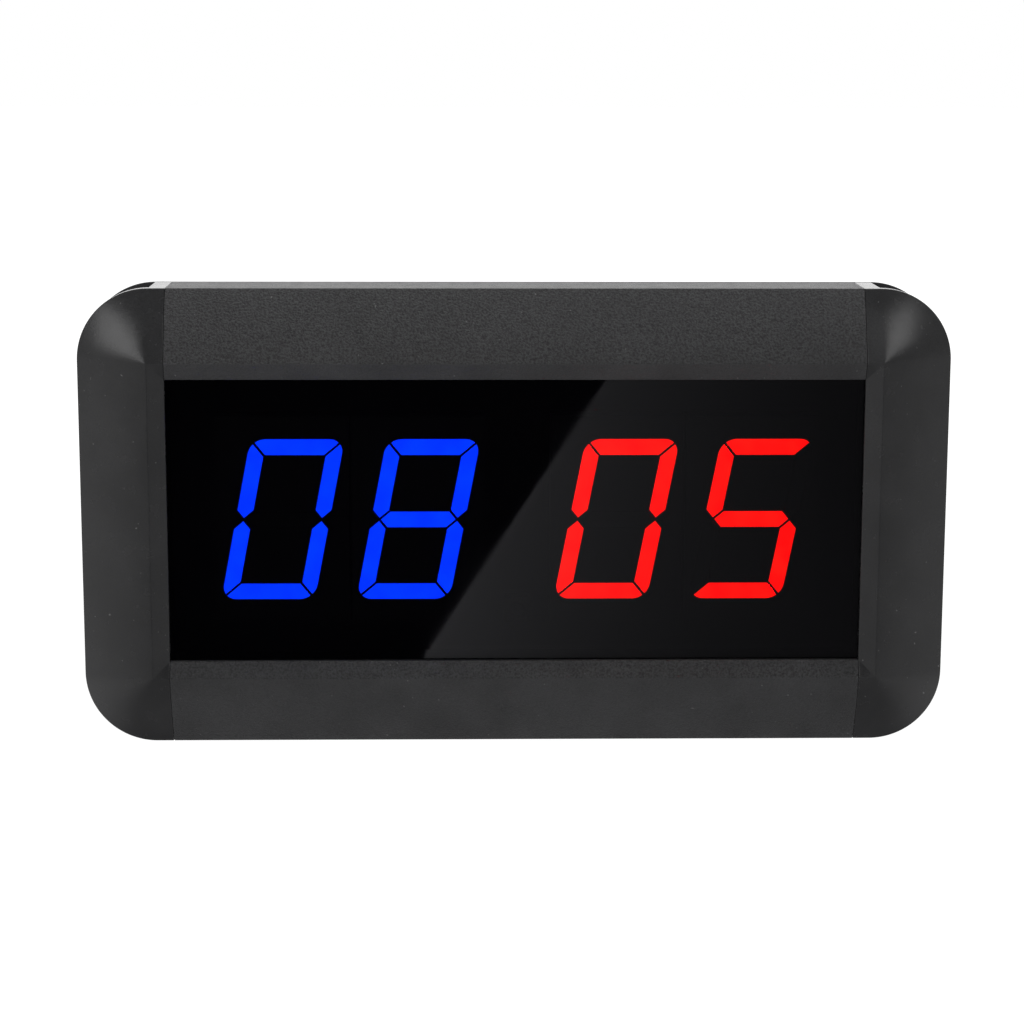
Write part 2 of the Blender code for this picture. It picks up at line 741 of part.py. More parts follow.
def cut_vents(cover):
    """A row of upright slots near the top of the tray."""
    for i in range(VENTS):
        x = (i - (VENTS - 1) / 2) * VENT_PITCH
        low = (x - VENT_HALF_WIDTH, FRONT + TRAY_INSIDE - 1 * MM, MIDDLE_Z + 26 * MM)
        high = (x + VENT_HALF_WIDTH, FRONT + DEPTH + 1 * MM, MIDDLE_Z + 38 * MM)
        cut(cover, between("vent_cutter", low, high, cover_plastic()))


def add_foot_boss(cover, side):
    """The post inside the tray's lower wall that takes a foot's pivot screw."""
    place = (side * FOOT_PIVOT_X, FOOT_Y, 0)
    wall_low = FOOT_TOP + GAP
    boss = cylinder(
        "foot_boss", 2.4 * MM, wall_low + 0.5 * MM, wall_low + 9 * MM, cover_plastic(), place, POINT_UP, 16,
    )
    weld(cover, boss)
    pilot = cylinder(
        "foot_pilot", 1.3 * MM, wall_low - 1 * MM, wall_low + 7 * MM, cover_plastic(), place, POINT_UP, 12,
    )
    cut(cover, pilot)


def make_cover_screws():
    index = 0
    for side in (-1, 1):
        for up in (1, -1):
            index += 1
            x, z = post_place(side, up)
            top = COVER_SCREW_TOP
            shank = 1.0 * MM
            head = 2.7 * MM
            profile = [
                (0, top - 13 * MM), (shank * 0.5, top - 13 * MM), (shank, top - 12 * MM),
                (shank, top - 1.75 * MM), (head, top - 0.25 * MM), (head, top), (0, top),
            ]
            place = (x, FRONT, z)
            screw = turned(f"cover_screw_{index}", profile, bright_metal(), place, POINT_REARWARD, 16)
            cut_cross(screw, place, POINT_REARWARD, top, 1.5 * MM)


def make_foot(name, side):
    """A bar that pivots at its outer end and lies along the cover's lower edge when folded."""
    radius = FOOT_RADIUS
    tip_radius = 2 * MM
    steps = 8
    outline = []
    for i in range(steps + 1):
        angle = math.pi / 2 + math.pi * i / steps
        outline.append((radius * math.cos(angle), radius * math.sin(angle)))
    tip_x = FOOT_LENGTH - tip_radius
    for i in range(steps + 1):
        angle = -math.pi / 2 + math.pi / 2 * i / steps
        across = -radius + tip_radius + tip_radius * math.sin(angle)
        outline.append((tip_x + tip_radius * math.cos(angle), across))
    outline += [(FOOT_LENGTH, radius - 1.2 * MM), (FOOT_LENGTH - 1.2 * MM, radius)]
    thickness = FOOT_TOP - FOOT_BOTTOM
    rows = [[(-side * x, y, z) for x, y in outline] for z in (0, thickness)]
    foot = add_object(name, skin_rows(rows), cap_plastic(), (side * FOOT_PIVOT_X, FOOT_Y, FOOT_BOTTOM))

    place = tuple(foot.location)
    bore = [
        (0, -1 * MM), (2.4 * MM, -1 * MM), (2.4 * MM, 1.4 * MM), (1.3 * MM, 1.4 * MM),
        (1.3 * MM, thickness + 1 * MM), (0, thickness + 1 * MM),
    ]
    cut(foot, turned(f"{name}_bore_cutter", bore, cap_plastic(), place, POINT_UP, 20))
    scoop_place = (side * (FOOT_PIVOT_X - FOOT_LENGTH + 9 * MM), FOOT_Y + radius + 2.6 * MM, FOOT_BOTTOM)
    scoop = cylinder(
        f"{name}_scoop_cutter", 4.2 * MM, -1 * MM, thickness + 1 * MM, cap_plastic(),
        scoop_place, POINT_UP, 24,
    )
    cut(foot, scoop)


def make_foot_screw(name, side):
    """A shouldered pivot screw, its head sunk in the foot's underside."""
    profile = [
        (0, 0.15 * MM), (2.15 * MM, 0.15 * MM), (2.15 * MM, 1.15 * MM), (1.1 * MM, 1.15 * MM),
        (1.1 * MM, 9.5 * MM), (0.6 * MM, 10.3 * MM), (0, 10.3 * MM),
    ]
    place = (side * FOOT_PIVOT_X, FOOT_Y, FOOT_BOTTOM)
    screw = turned(name, profile, bright_metal(), place, POINT_UP, 16)
    cut_cross(screw, (place[0], place[1], place[2] - 0.6 * MM), POINT_UP, 0.0, 1.2 * MM)


def make_feet():
    for side, hand in ((-1, "left"), (1, "right")):
        make_foot(f"{hand}_swing_foot", side)
        make_foot_screw(f"{hand}_foot_screw", side)


def make_buttons():
    """Three push buttons, each retained by a flange inside the left wall."""
    for index, z in enumerate(BUTTON_Z, 1):
        place = (-SIDE_INSIDE_X, CONTROL_Y, z)
        stem_end = BUTTON_TRAVEL + 2 * GAP + TACT_BODY + TACT_PLUNGER - BUTTON_BOARD_DEPTH
        profile = [
            (0, stem_end), (1.5 * MM, stem_end), (1.5 * MM, -1.5 * MM), (4 * MM, -1.5 * MM),
            (4 * MM, -0.3 * MM), (3 * MM, -0.3 * MM), (3 * MM, 3.1 * MM), (2.7 * MM, 3.4 * MM), (0, 3.5 * MM),
        ]
        turned(f"push_button_{index}", profile, black_rubber(), place, POINT_LEFT, 20)


def make_button_board():
    """The upright board behind the push buttons with its three tact switches."""
    face_x = BUTTON_BOARD_DEPTH - SIDE_INSIDE_X
    low = (face_x, CONTROL_Y - 6 * MM, MIDDLE_Z - 23.5 * MM)
    high = (face_x + BOARD_THICKNESS, CONTROL_Y + 6 * MM, MIDDLE_Z + 23.5 * MM)
    board = between("button_board", low, high, board_green())
    for index, z in enumerate(board_post_places(), 1):
        hole = cylinder(
            f"button_board_hole_{index}", 1.5 * MM, -3 * MM, 3 * MM, board_green(),
            (face_x, CONTROL_Y, z), POINT_RIGHT, 12,
        )
        cut(board, hole)
        seat = (face_x + BOARD_THICKNESS + GAP, CONTROL_Y, z)
        make_small_screw(f"button_board_screw_{index}", seat)
    for index, z in enumerate(BUTTON_Z, 1):
        centre = (face_x - GAP - TACT_BODY / 2, CONTROL_Y, z)
        tact = block(f"tact_switch_{index}", (TACT_BODY, 6 * MM, 6 * MM), centre, black_plastic(), 0.25 * MM)
        plunger = cylinder(
            f"tact_plunger_{index}", 1.5 * MM, 0, TACT_BODY / 2 + TACT_PLUNGER, black_plastic(),
            centre, POINT_LEFT, 16,
        )
        weld(tact, plunger)


def make_small_screw(name, seat):
    profile = [
        (0, -8 * MM), (0.4 * MM, -8 * MM), (0.8 * MM, -7.2 * MM), (0.8 * MM, 0),
        (1.9 * MM, 0), (1.9 * MM, 0.6 * MM), (1.4 * MM, 1.1 * MM), (0, 1.1 * MM),
    ]
    screw = turned(name, profile, bright_metal(), seat, POINT_RIGHT, 16)
    cut_cross(screw, seat, POINT_RIGHT, 1.1 * MM, 1.1 * MM)


def make_rocker_switch():
    """A snap-in switch body with its bezel in the groove, and the rocker on a Y-wise axis."""
    centre = (SIDE_FLOOR_X, CONTROL_Y, ROCKER_Z)
    body = block(
        "power_switch_body", (11 * MM, 8.5 * MM, 13.5 * MM),
        (SIDE_FLOOR_X - 4.2 * MM, CONTROL_Y, ROCKER_Z), black_plastic(),
    )
    bezel = block(
        "switch_bezel", (1.2 * MM, 10.4 * MM, 15.4 * MM),
        (SIDE_FLOOR_X + 0.9 * MM, CONTROL_Y, ROCKER_Z), black_plastic(), 0.3 * MM,
    )
    weld(body, bezel)
    well = between(
        "rocker_well_cutter",
        (SIDE_FLOOR_X - 3.6 * MM, CONTROL_Y - 3.3 * MM, ROCKER_Z - 5.8 * MM),
        (SIDE_FLOOR_X + 4 * MM, CONTROL_Y + 3.3 * MM, ROCKER_Z + 5.8 * MM),
        black_plastic(),
    )
    cut(body, well)
    for number, z in enumerate((ROCKER_Z - 4 * MM, ROCKER_Z + 4 * MM), 1):
        tab = block(
            f"switch_tab_{number}", (4 * MM, 4.5 * MM, 0.8 * MM),
            (SIDE_FLOOR_X - 11 * MM, CONTROL_Y, z), bright_metal(),
        )
        weld(body, tab)
    make_rocker(centre)


def make_rocker(centre):
    """The rocker, its origin on its own axis. Its lower half stands proud at rest."""
    half = 5.2 * MM
    half_width = 3 * MM
    foot = -1.9 * MM
    foot_half = 3.1 * MM
    crown = 1.2 * MM
    dip = 0.7 * MM
    outline = [(foot, -foot_half), (foot, foot_half), (crown, half), (crown - dip, 0), (crown, -half)]
    rows = [[(x, y, z) for x, z in outline] for y in (-half_width, half_width)]
    bm = skin_rows(rows)
    tilt = Matrix.Rotation(ROCKER_TILT, 3, "Y")
    bmesh.ops.rotate(bm, cent=(0, 0, 0), matrix=tilt, verts=bm.verts)
    add_object("power_rocker", bm, black_plastic(), centre)


def make_power_socket():
    """A barrel socket: a square body inside the wall and a round nose through it."""
    depth = 11 * MM
    body = block(
        "power_socket", (depth, 9 * MM, 10 * MM),
        (SIDE_INSIDE_X - GAP - depth / 2, CONTROL_Y, SOCKET_Z), black_plastic(), 0.3 * MM,
    )
    place = (SIDE_INSIDE_X, CONTROL_Y, SOCKET_Z)
    nose_profile = [(0, -2 * MM), (4 * MM, -2 * MM), (4 * MM, 3 * MM), (3.7 * MM, 3.3 * MM), (0, 3.3 * MM)]
    weld(body, turned("socket_nose", nose_profile, black_plastic(), place, POINT_RIGHT, 28))
    cut(body, cylinder("socket_bore", 3.05 * MM, -7.5 * MM, 4 * MM, black_plastic(), place, POINT_RIGHT, 24))
    pin = [(0, -8.5 * MM), (1 * MM, -8.5 * MM), (1 * MM, 1.2 * MM), (0.6 * MM, 1.8 * MM), (0, 1.8 * MM)]
    weld(body, turned("socket_pin", pin, bright_metal(), place, POINT_RIGHT, 12))


def smooth_route(points, steps=4):
    """Catmull-Rom points through a short list of chosen ones."""
    ends = [points[0]] + list(points) + [points[-1]]
    route = []
    for a, b, c, d in zip(ends, ends[1:], ends[2:], ends[3:]):
        for i in range(steps):
            t = i / steps
            p = [Vector(v) for v in (a, b, c, d)]
            pull = (p[2] - p[0]) * t + (2 * p[0] - 5 * p[1] + 4 * p[2] - p[3]) * t * t
            route.append(p[1] + 0.5 * (pull + (3 * p[1] - p[0] - 3 * p[2] + p[3]) * t ** 3))
    route.append(Vector(points[-1]))
    return route


def make_wire(name, points, mat):
    curve = bpy.data.curves.new(name, "CURVE")
    curve.dimensions = "3D"
    curve.bevel_depth = 0.7 * MM
    curve.bevel_resolution = 1
    curve.use_fill_caps = True
    route = smooth_route(points)
    spline = curve.splines.new("POLY")
    spline.points.add(len(route) - 1)
    for point, place in zip(spline.points, route):
        point.co = (*place, 1)
    curve.materials.append(mat)
    obj = bpy.data.objects.new(name, curve)
    bpy.context.scene.collection.objects.link(obj)


def make_wiring():
    """Power wires from the socket and the switch, and the button board's flat ribbon."""
    start_x = SIDE_INSIDE_X - 11 * MM - 2 * GAP - 0.3 * MM
    wires = (
        ("power_wire_red", 2 * MM, wire_red()),
        ("power_wire_black", -2 * MM, black_rubber()),
    )
    for name, offset, mat in wires:
        z = SOCKET_Z + offset
        points = [
            (start_x, CONTROL_Y + 3.3 * MM, z),
            (start_x - 6 * MM, CONTROL_Y + 4.6 * MM, z + offset),
            (start_x - 18 * MM, CONTROL_Y + 5.4 * MM, z + 2 * offset),
            (51.2 * MM, CONTROL_Y + 4.6 * MM, z + 1.5 * offset),
        ]
        make_wire(name, points, mat)
    ribbon_half = 4 * MM
    front = FRONT + CONTROL_FRONT + 0.4 * MM
    ribbon_start = BUTTON_BOARD_DEPTH - SIDE_INSIDE_X + BOARD_THICKNESS + GAP
    run = -50 * MM - GAP - ribbon_start
    rows = []
    for i in range(9):
        t = i / 8
        sag = 1.6 * MM * math.sin(math.pi * t)
        x = ribbon_start + run * t
        y = front + sag
        row = [(y, -ribbon_half), (y + 0.7 * MM, -ribbon_half), (y + 0.7 * MM, ribbon_half), (y, ribbon_half)]
        rows.append([(x, depth, MIDDLE_Z + z) for depth, z in row])
    add_object("button_ribbon", skin_rows(rows), black_rubber())


def main():
    clear_scene()
    make_rail("top_rail", 1)
    make_rail("bottom_rail", -1)
    make_left_cap()
    make_right_cap()
    make_lens()
    make_spacer_frame()
    make_display()
    make_infrared_receiver()
    make_control_board()
    make_board_parts()
    make_back_cover()
    make_cover_screws()
    make_feet()
    make_buttons()
    make_button_board()
    make_rocker_switch()
    make_power_socket()
    make_wiring()


main()
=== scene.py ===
"""Looks of the gym round timer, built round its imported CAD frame.

Metres, +Z up, the window facing -Y and +X to the right. A point of the frame's section is written
(out, back): its distance outward of the ridge round the window, and its depth behind that ridge.
"""

import math

import bmesh
import bpy
from mathutils import Matrix, Vector


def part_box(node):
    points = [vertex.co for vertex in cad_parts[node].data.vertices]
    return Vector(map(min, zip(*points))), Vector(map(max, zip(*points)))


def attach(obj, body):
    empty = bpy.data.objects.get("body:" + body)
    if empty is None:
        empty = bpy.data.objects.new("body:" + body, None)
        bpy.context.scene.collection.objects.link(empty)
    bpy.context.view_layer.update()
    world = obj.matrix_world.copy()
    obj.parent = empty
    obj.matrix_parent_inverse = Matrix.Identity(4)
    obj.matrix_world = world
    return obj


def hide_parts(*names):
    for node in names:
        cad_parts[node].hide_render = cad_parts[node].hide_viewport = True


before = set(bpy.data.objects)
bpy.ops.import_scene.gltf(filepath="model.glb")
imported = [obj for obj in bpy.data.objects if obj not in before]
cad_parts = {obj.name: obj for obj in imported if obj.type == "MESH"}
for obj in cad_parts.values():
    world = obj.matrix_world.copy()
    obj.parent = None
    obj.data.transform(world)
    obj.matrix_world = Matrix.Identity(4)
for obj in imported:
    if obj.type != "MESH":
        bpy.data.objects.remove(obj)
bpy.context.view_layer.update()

MM = 0.001

# Places read from the frame.
CAP_LOW, CAP_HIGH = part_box("right_end_cap")
COVER_LOW, COVER_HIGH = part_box("back_cover")
FRONT = CAP_LOW.y
MEMBER_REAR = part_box("top_rail")[1].y - FRONT
MIDDLE_Z = (CAP_LOW.z + CAP_HIGH.z) / 2
HALF_HEIGHT = (CAP_HIGH.z - CAP_LOW.z) / 2
DEPTH = COVER_HIGH.y - FRONT

# Shape of the housing's section.
BEVEL = 16.5 * MM  # sloping border outside the ridge, and radius of the outer corners
BEVEL_SETBACK = 7 * MM
BEVEL_BULGE = 0.7 * MM
CHAMFER = 3.8 * MM  # sloping border between the ridge and the window
CHAMFER_SETBACK = 1.8 * MM
WALL = 2 * MM
GAP = 0.3 * MM
RIDGE_X = CAP_HIGH.x - BEVEL
RIDGE_Z = HALF_HEIGHT - BEVEL
SEAM_X = RIDGE_X - CHAMFER
LIP_REAR = CHAMFER_SETBACK + 1 * MM
GROOVE_FRONT = 9.3 * MM
GROOVE_FLOOR = BEVEL - WALL
RIB_IN = -1.2 * MM
RIB_OUT = 0.8 * MM
RIB_REAR = 18 * MM
UNDERSIDE = 2.9 * MM
RAIL_INSIDE = BEVEL - WALL
CAP_INSIDE = BEVEL - 2 * WALL
BOARD_LOW, BOARD_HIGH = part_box("display_board")
SLOT_FRONT = BOARD_LOW.y - FRONT - GAP
SLOT_REAR = BOARD_HIGH.y - FRONT + GAP

POST_OFFSET = 4.8 * MM
POST_RADIUS = 2.8 * MM
POST_START = 5 * MM
POST_END = DEPTH - WALL - GAP
PILOT_START = 14 * MM
PILOT_RADIUS = 1.3 * MM
BUTTON_HOLE = 3.3 * MM
SOCKET_HOLE = 4.3 * MM
ROCKER_OPENING_Y = 4.55 * MM
ROCKER_OPENING_Z = 7.05 * MM
FLOOR_X = RIDGE_X + GROOVE_FLOOR  # the side grooves' floor
ROCKER_TILT = math.radians(-7)

# Back cover and feet.
TRAY_INSIDE = DEPTH - WALL
TRAY_OUT = 12.2 * MM
TRAY_IN = TRAY_OUT - WALL
PLATE_FRONT = COVER_LOW.y - FRONT
PLATE_REAR = PLATE_FRONT + 1.5 * MM
KEYHOLE_X = 70 * MM
KEYHOLE_Z = MIDDLE_Z + 22 * MM
VENTS = 9
VENT_PITCH = 5 * MM
VENT_Z = MIDDLE_Z + 32 * MM
GRILLE_RINGS = ((0, 1), (3.4 * MM, 6), (6.8 * MM, 12))  # radius and number of holes
FOOT_LOW, FOOT_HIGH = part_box("right_swing_foot")
FOOT_BOTTOM = FOOT_LOW.z
FOOT_TOP = FOOT_HIGH.z
FOOT_LENGTH = 58 * MM
FOOT_RADIUS = 3.1 * MM
FOOT_PIVOT_X = FOOT_LOW.x + FOOT_LENGTH
FOOT_Y = (FOOT_LOW.y + FOOT_HIGH.y) / 2

REARWARD = (0, 1, 0)
RIGHTWARD = (1, 0, 0)
LEFTWARD = (-1, 0, 0)
UPWARD = (0, 0, 1)

# Rounding of edges.
RIDGE_RADIUS = 0.5 * MM
EDGE_RADIUS = 0.3 * MM
SEAM_GAP = 0.06 * MM
SEAM_ROUND = 0.16 * MM
FILLET_STEPS = 4
BEVEL_STEPS = 14
CORNER_STEPS = 36

# The camera, round a point on the ridge's plane near the middle.
CAMERA_DISTANCE = 582.6 * MM
CAMERA_AZIMUTH = math.radians(-1.35)
CAMERA_ELEVATION = math.radians(10.39)
CAMERA_ROLL = math.radians(0.16)
CAMERA_LENS = 89.7
CAMERA_TARGET = Vector((-0.88 * MM, FRONT, MIDDLE_Z + 2.57 * MM))

# Light: how strongly the room glows at the left, right and rear, and softboxes as (place, size, power).
LEFT_GLOW = 0.42
RIGHT_GLOW = 0.32
REAR_GLOW = 1.75
SIDE_GLOW_HIGH = 0.6  # the sides' glow at and above the horizon
SIDE_GLOW_LOW = 2.2  # the sides' glow well below it
FLOOR_GLOW_NEAR = 1.0
FLOOR_GLOW_FAR = 1.13
SOFTBOXES = {
    "top_softbox": ((0, 0.05, 1.2), 0.7, 7.4),
    "left_softbox": ((-0.80, -0.80, 0.50), 0.64, 3.7),
    "right_softbox": ((0.64, -0.84, 0.64), 0.55, 2.5),
}

# The glare in the window: two points of its slanting edge, and the card that makes it.
WINDOW_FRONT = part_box("front_lens")[0].y
GLARE_EDGE = ((-21.6 * MM, 19.9 * MM), (20.7 * MM, 85.7 * MM))
CARD_REACH = 1.9
CARD_WIDTH = 110 * MM
CARD_OVERRUN = 45 * MM
CARD_UV = "along_and_across"
GLARE = 0.85
GLARE_FAR = 0.25
GLARE_RIM = 0.6


def node_middle(node):
    """The middle of a CAD node's box."""
    low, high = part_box(node)
    return (low + high) / 2


# ---------------------------------------------------------------- outlines and meshes


def fillet(corners, steps=FILLET_STEPS):
    """A closed outline from (x, y, radius) corners, each one an arc of that radius.
    Every corner gives steps + 1 points, so that two outlines of the same corners match."""
    outline = []
    count = len(corners)
    for i, (x, y, radius) in enumerate(corners):
        corner = Vector((x, y))
        if radius == 0:
            outline += [(x, y)] * (steps + 1)
            continue
        before = (Vector(corners[i - 1][:2]) - corner).normalized()
        after = (Vector(corners[(i + 1) % count][:2]) - corner).normalized()
        half = before.angle(after) / 2
        centre = corner + (before + after).normalized() * (radius / math.sin(half))
        start = corner + before * (radius / math.tan(half)) - centre
        end = corner + after * (radius / math.tan(half)) - centre
        turn = math.atan2(start.x * end.y - start.y * end.x, start.dot(end))
        for k in range(steps + 1):
            outline.append(tuple(centre + Matrix.Rotation(turn * k / steps, 2) @ start))
    return outline


def arc(radius, start, end, steps, x=0.0, z=0.0):
    """Points from angle start to end, both among them, on a circle about (x, z)."""
    angles = [start + (end - start) * i / steps for i in range(steps + 1)]
    return [(x + radius * math.cos(a), z + radius * math.sin(a)) for a in angles]


def way_to_next(outline, i, step):
    """From point i to the nearest point in another place, going round by step, 1 or -1."""
    here = Vector(outline[i])
    ways = (Vector(outline[(i + step * k) % len(outline)]) - here for k in range(1, len(outline)))
    return next(way for way in ways if way.length > 1e-9)


def shrink(outline, amount):
    """Moves each point of a closed outline inward by amount."""
    area = sum(a[0] * b[1] - b[0] * a[1] for a, b in zip(outline, outline[1:] + outline[:1]))
    inward = 1 if area > 0 else -1
    moved = []
    for i, point in enumerate(outline):
        before = -way_to_next(outline, i, -1)
        after = way_to_next(outline, i, 1)
        normal_a = Vector((-before.y, before.x)).normalized()
        normal_b = Vector((-after.y, after.x)).normalized()
        normal = (normal_a + normal_b).normalized()
        reach = amount / max(normal.dot(normal_a), 0.5)
        moved.append(tuple(Vector(point) + normal * reach * inward))
    return moved


def skin_rows(rows):
    """A closed bmesh through rows of points, each row a loop around the piece."""
    bm = bmesh.new()
    rings = [[bm.verts.new(point) for point in row] for row in rows]
    for near, far in zip(rings, rings[1:]):
        count = len(near)
        for i in range(count):
            j = (i + 1) % count
            bm.faces.new((near[i], near[j], far[j], far[i]))
    bm.faces.new(rings[0][::-1])
    bm.faces.new(rings[-1])
    bmesh.ops.remove_doubles(bm, verts=bm.verts, dist=1e-7)
    bmesh.ops.recalc_face_normals(bm, faces=bm.faces)
    return bm


def add_mesh(name, bm):
    """A scene object from a bmesh."""
    mesh = bpy.data.meshes.new(name)
    bm.to_mesh(mesh)
    bm.free()
    obj = bpy.data.objects.new(name, mesh)
    bpy.context.scene.collection.objects.link(obj)
    return obj


def apply_modifiers(obj):
    """Keeps the evaluated mesh and drops the modifiers."""
    depsgraph = bpy.context.evaluated_depsgraph_get()
    mesh = bpy.data.meshes.new_from_object(obj.evaluated_get(depsgraph))
    obj.modifiers.clear()
    obj.data = mesh


def merge_close_points(obj):
    """Removes the slivers that a Boolean can leave."""
    bm = bmesh.new()
    bm.from_mesh(obj.data)
    bmesh.ops.remove_doubles(bm, verts=bm.verts, dist=0.002 * MM)
    bmesh.ops.dissolve_degenerate(bm, edges=bm.edges, dist=0.001 * MM)
    bm.to_mesh(obj.data)
    bm.free()


def combine(obj, others, operation):
    """Welds others to obj (UNION) or cuts them from it (DIFFERENCE), and removes them."""
    tool = join(others, "boolean_tool")
    modifier = obj.modifiers.new("boolean", "BOOLEAN")
    modifier.operation = operation
    modifier.solver = "EXACT"
    modifier.object = tool
    apply_modifiers(obj)
    merge_close_points(obj)
    bpy.data.objects.remove(tool, do_unlink=True)


def shade(obj, sharp_angle):
    """Marks sharp edges again and weights the normals by face area."""
    obj.data.shade_smooth()
    obj.data.set_sharp_from_angle(angle=math.radians(sharp_angle))
    modifier = obj.modifiers.new("weighted_normals", "WEIGHTED_NORMAL")
    modifier.keep_sharp = True
    apply_modifiers(obj)


def finish_piece(obj, body, material, slot, *nodes, sharp_angle=35):
    """Shades a piece, gives it its material and puts it on its body.
    It hides the CAD nodes that it stands for."""
    shade(obj, sharp_angle)
    obj.data.materials.clear()
    obj.data.materials.append(material)
    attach(obj, body)
    if nodes:
        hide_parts(*nodes)
    return obj


def block(name, corner, opposite, edge=0.0):
    """A box between two opposite corners, its edges rounded by edge."""
    low = Vector(map(min, corner, opposite))
    high = Vector(map(max, corner, opposite))
    bm = bmesh.new()
    bmesh.ops.create_cube(bm, size=1.0)
    bmesh.ops.scale(bm, vec=high - low, verts=bm.verts)
    bmesh.ops.translate(bm, vec=(low + high) / 2, verts=bm.verts)
    if edge:
        bmesh.ops.bevel(bm, geom=bm.edges, offset=edge, segments=3, profile=0.5, affect="EDGES")
    return add_mesh(name, bm)


def open_outline(corners):
    """Fillets an outline whose two ends stay as they are, and drops its repeated points."""
    outline = fillet([(*corner, 0)[:3] for corner in corners])
    return [p for i, p in enumerate(outline) if i == 0 or p != outline[i - 1]]


def turned(name, corners, place, axis, sides=48):
    """A round piece about axis, from (radius, height) or (radius, height, fillet) corners.
    The first and last lie on the axis. Heights run along it from place."""
    bm = bmesh.new()
    rings = []
    for radius, height in open_outline(corners):
        if radius == 0:
            rings.append([bm.verts.new((0, 0, height))])
            continue
        circle = arc(radius, 0, 2 * math.pi, sides)[:-1]
        rings.append([bm.verts.new((x, y, height)) for x, y in circle])
    for near, far in zip(rings, rings[1:]):
        for i in range(sides):
            j = (i + 1) % sides
            around = [near[i % len(near)], near[j % len(near)], far[j % len(far)], far[i % len(far)]]
            bm.faces.new(list(dict.fromkeys(around)))
    bmesh.ops.recalc_face_normals(bm, faces=bm.faces)
    turn = Vector((0, 0, 1)).rotation_difference(Vector(axis)).to_matrix()
    bmesh.ops.rotate(bm, cent=(0, 0, 0), matrix=turn, verts=bm.verts)
    bmesh.ops.translate(bm, vec=place, verts=bm.verts)
    return add_mesh(name, bm)


def rod(name, radius, start, end, place, axis, sides=48):
    """A plain cylinder about axis, from height start to end along it from place."""
    return turned(name, [(0, start), (radius, start), (radius, end), (0, end)], place, axis, sides)


def rounded_prism(name, outline, low, high, radius, to_place, steps=3):
    """An outline carried from height low to high with both rims rounded.
    to_place turns a point of the outline and a height into a place."""
    rows = []
    for k in range(steps + 1):
        angle = math.pi / 2 * k / steps
        rows.append((radius * (1 - math.sin(angle)), low + radius * (1 - math.cos(angle))))
    rows += [(inset, low + high - height) for inset, height in reversed(rows)]
    points = [[to_place(x, y, height) for x, y in shrink(outline, inset)] for inset, height in rows]
    return add_mesh(name, skin_rows(points))


def join(objects, name):
    """One object from several that don't touch."""
    bm = bmesh.new()
    for obj in objects:
        bm.from_mesh(obj.data)
        bpy.data.objects.remove(obj, do_unlink=True)
    return add_mesh(name, bm)


# ---------------------------------------------------------------- materials


MOTTLE = 0.12  # how far moulded plastic's colour strays, as a part of it


def add_node(tree, kind, inputs=None, **settings):
    """A node with its settings; inputs gives values, or sockets to link from."""
    node = tree.nodes.new(kind)
    for key, value in settings.items():
        setattr(node, key, value)
    for key, value in (inputs or {}).items():
        if isinstance(value, bpy.types.NodeSocket):
            tree.links.new(value, node.inputs[key])
        else:
            node.inputs[key].default_value = value
    return node


def new_material(name):
    """A new material and its empty node tree."""
    made = bpy.data.materials.new(name)
    made.use_nodes = True
    made.node_tree.nodes.clear()
    return made, made.node_tree


def add_surface(tree, inputs, kind="ShaderNodeBsdfPrincipled"):
    """A shader with these inputs, linked to the material's output."""
    shader = add_node(tree, kind, inputs)
    add_node(tree, "ShaderNodeOutputMaterial", {"Surface": shader.outputs[0]})


def object_coordinates(tree):
    return tree.nodes.new("ShaderNodeTexCoord").outputs["Object"]


def noise(tree, coordinates, size, detail=2.0, roughness=0.5):
    """Noise whose features are about size across; its output runs from 0 to 1."""
    inputs = {"Vector": coordinates, "Scale": 1 / size, "Detail": detail, "Roughness": roughness}
    return add_node(tree, "ShaderNodeTexNoise", inputs).outputs["Fac"]


def remap(tree, value, low, high, new_low, new_high):
    """Moves value from the range low..high to new_low..new_high."""
    inputs = {"Value": value, "From Min": low, "From Max": high, "To Min": new_low, "To Max": new_high}
    return add_node(tree, "ShaderNodeMapRange", inputs).outputs["Result"]


def mix_colours(tree, factor, a, b):
    node = add_node(tree, "ShaderNodeMix", data_type="RGBA")
    for socket, value in ((node.inputs[0], factor), (node.inputs[6], a), (node.inputs[7], b)):
        if isinstance(value, bpy.types.NodeSocket):
            tree.links.new(value, socket)
        elif isinstance(value, (int, float)):
            socket.default_value = value
        else:
            socket.default_value = (*value, 1)
    return node.outputs[2]


def smooth_remap(tree, value, low, high):
    """0 at low and 1 at high, with soft ends."""
    inputs = {"Value": value, "From Min": low, "From Max": high}
    node = add_node(tree, "ShaderNodeMapRange", inputs, interpolation_type="SMOOTHSTEP")
    return node.outputs["Result"]


def multiplied(tree, a, b):
    return add_node(tree, "ShaderNodeMath", {0: a, 1: b}, operation="MULTIPLY").outputs[0]


def weighted_sum(tree, *pairs):
    """The sum of several (value, weight) pairs."""
    total = 0.0
    for value, weight in pairs:
        inputs = {0: value, 1: weight, 2: total}
        total = add_node(tree, "ShaderNodeMath", inputs, operation="MULTIPLY_ADD").outputs[0]
    return total


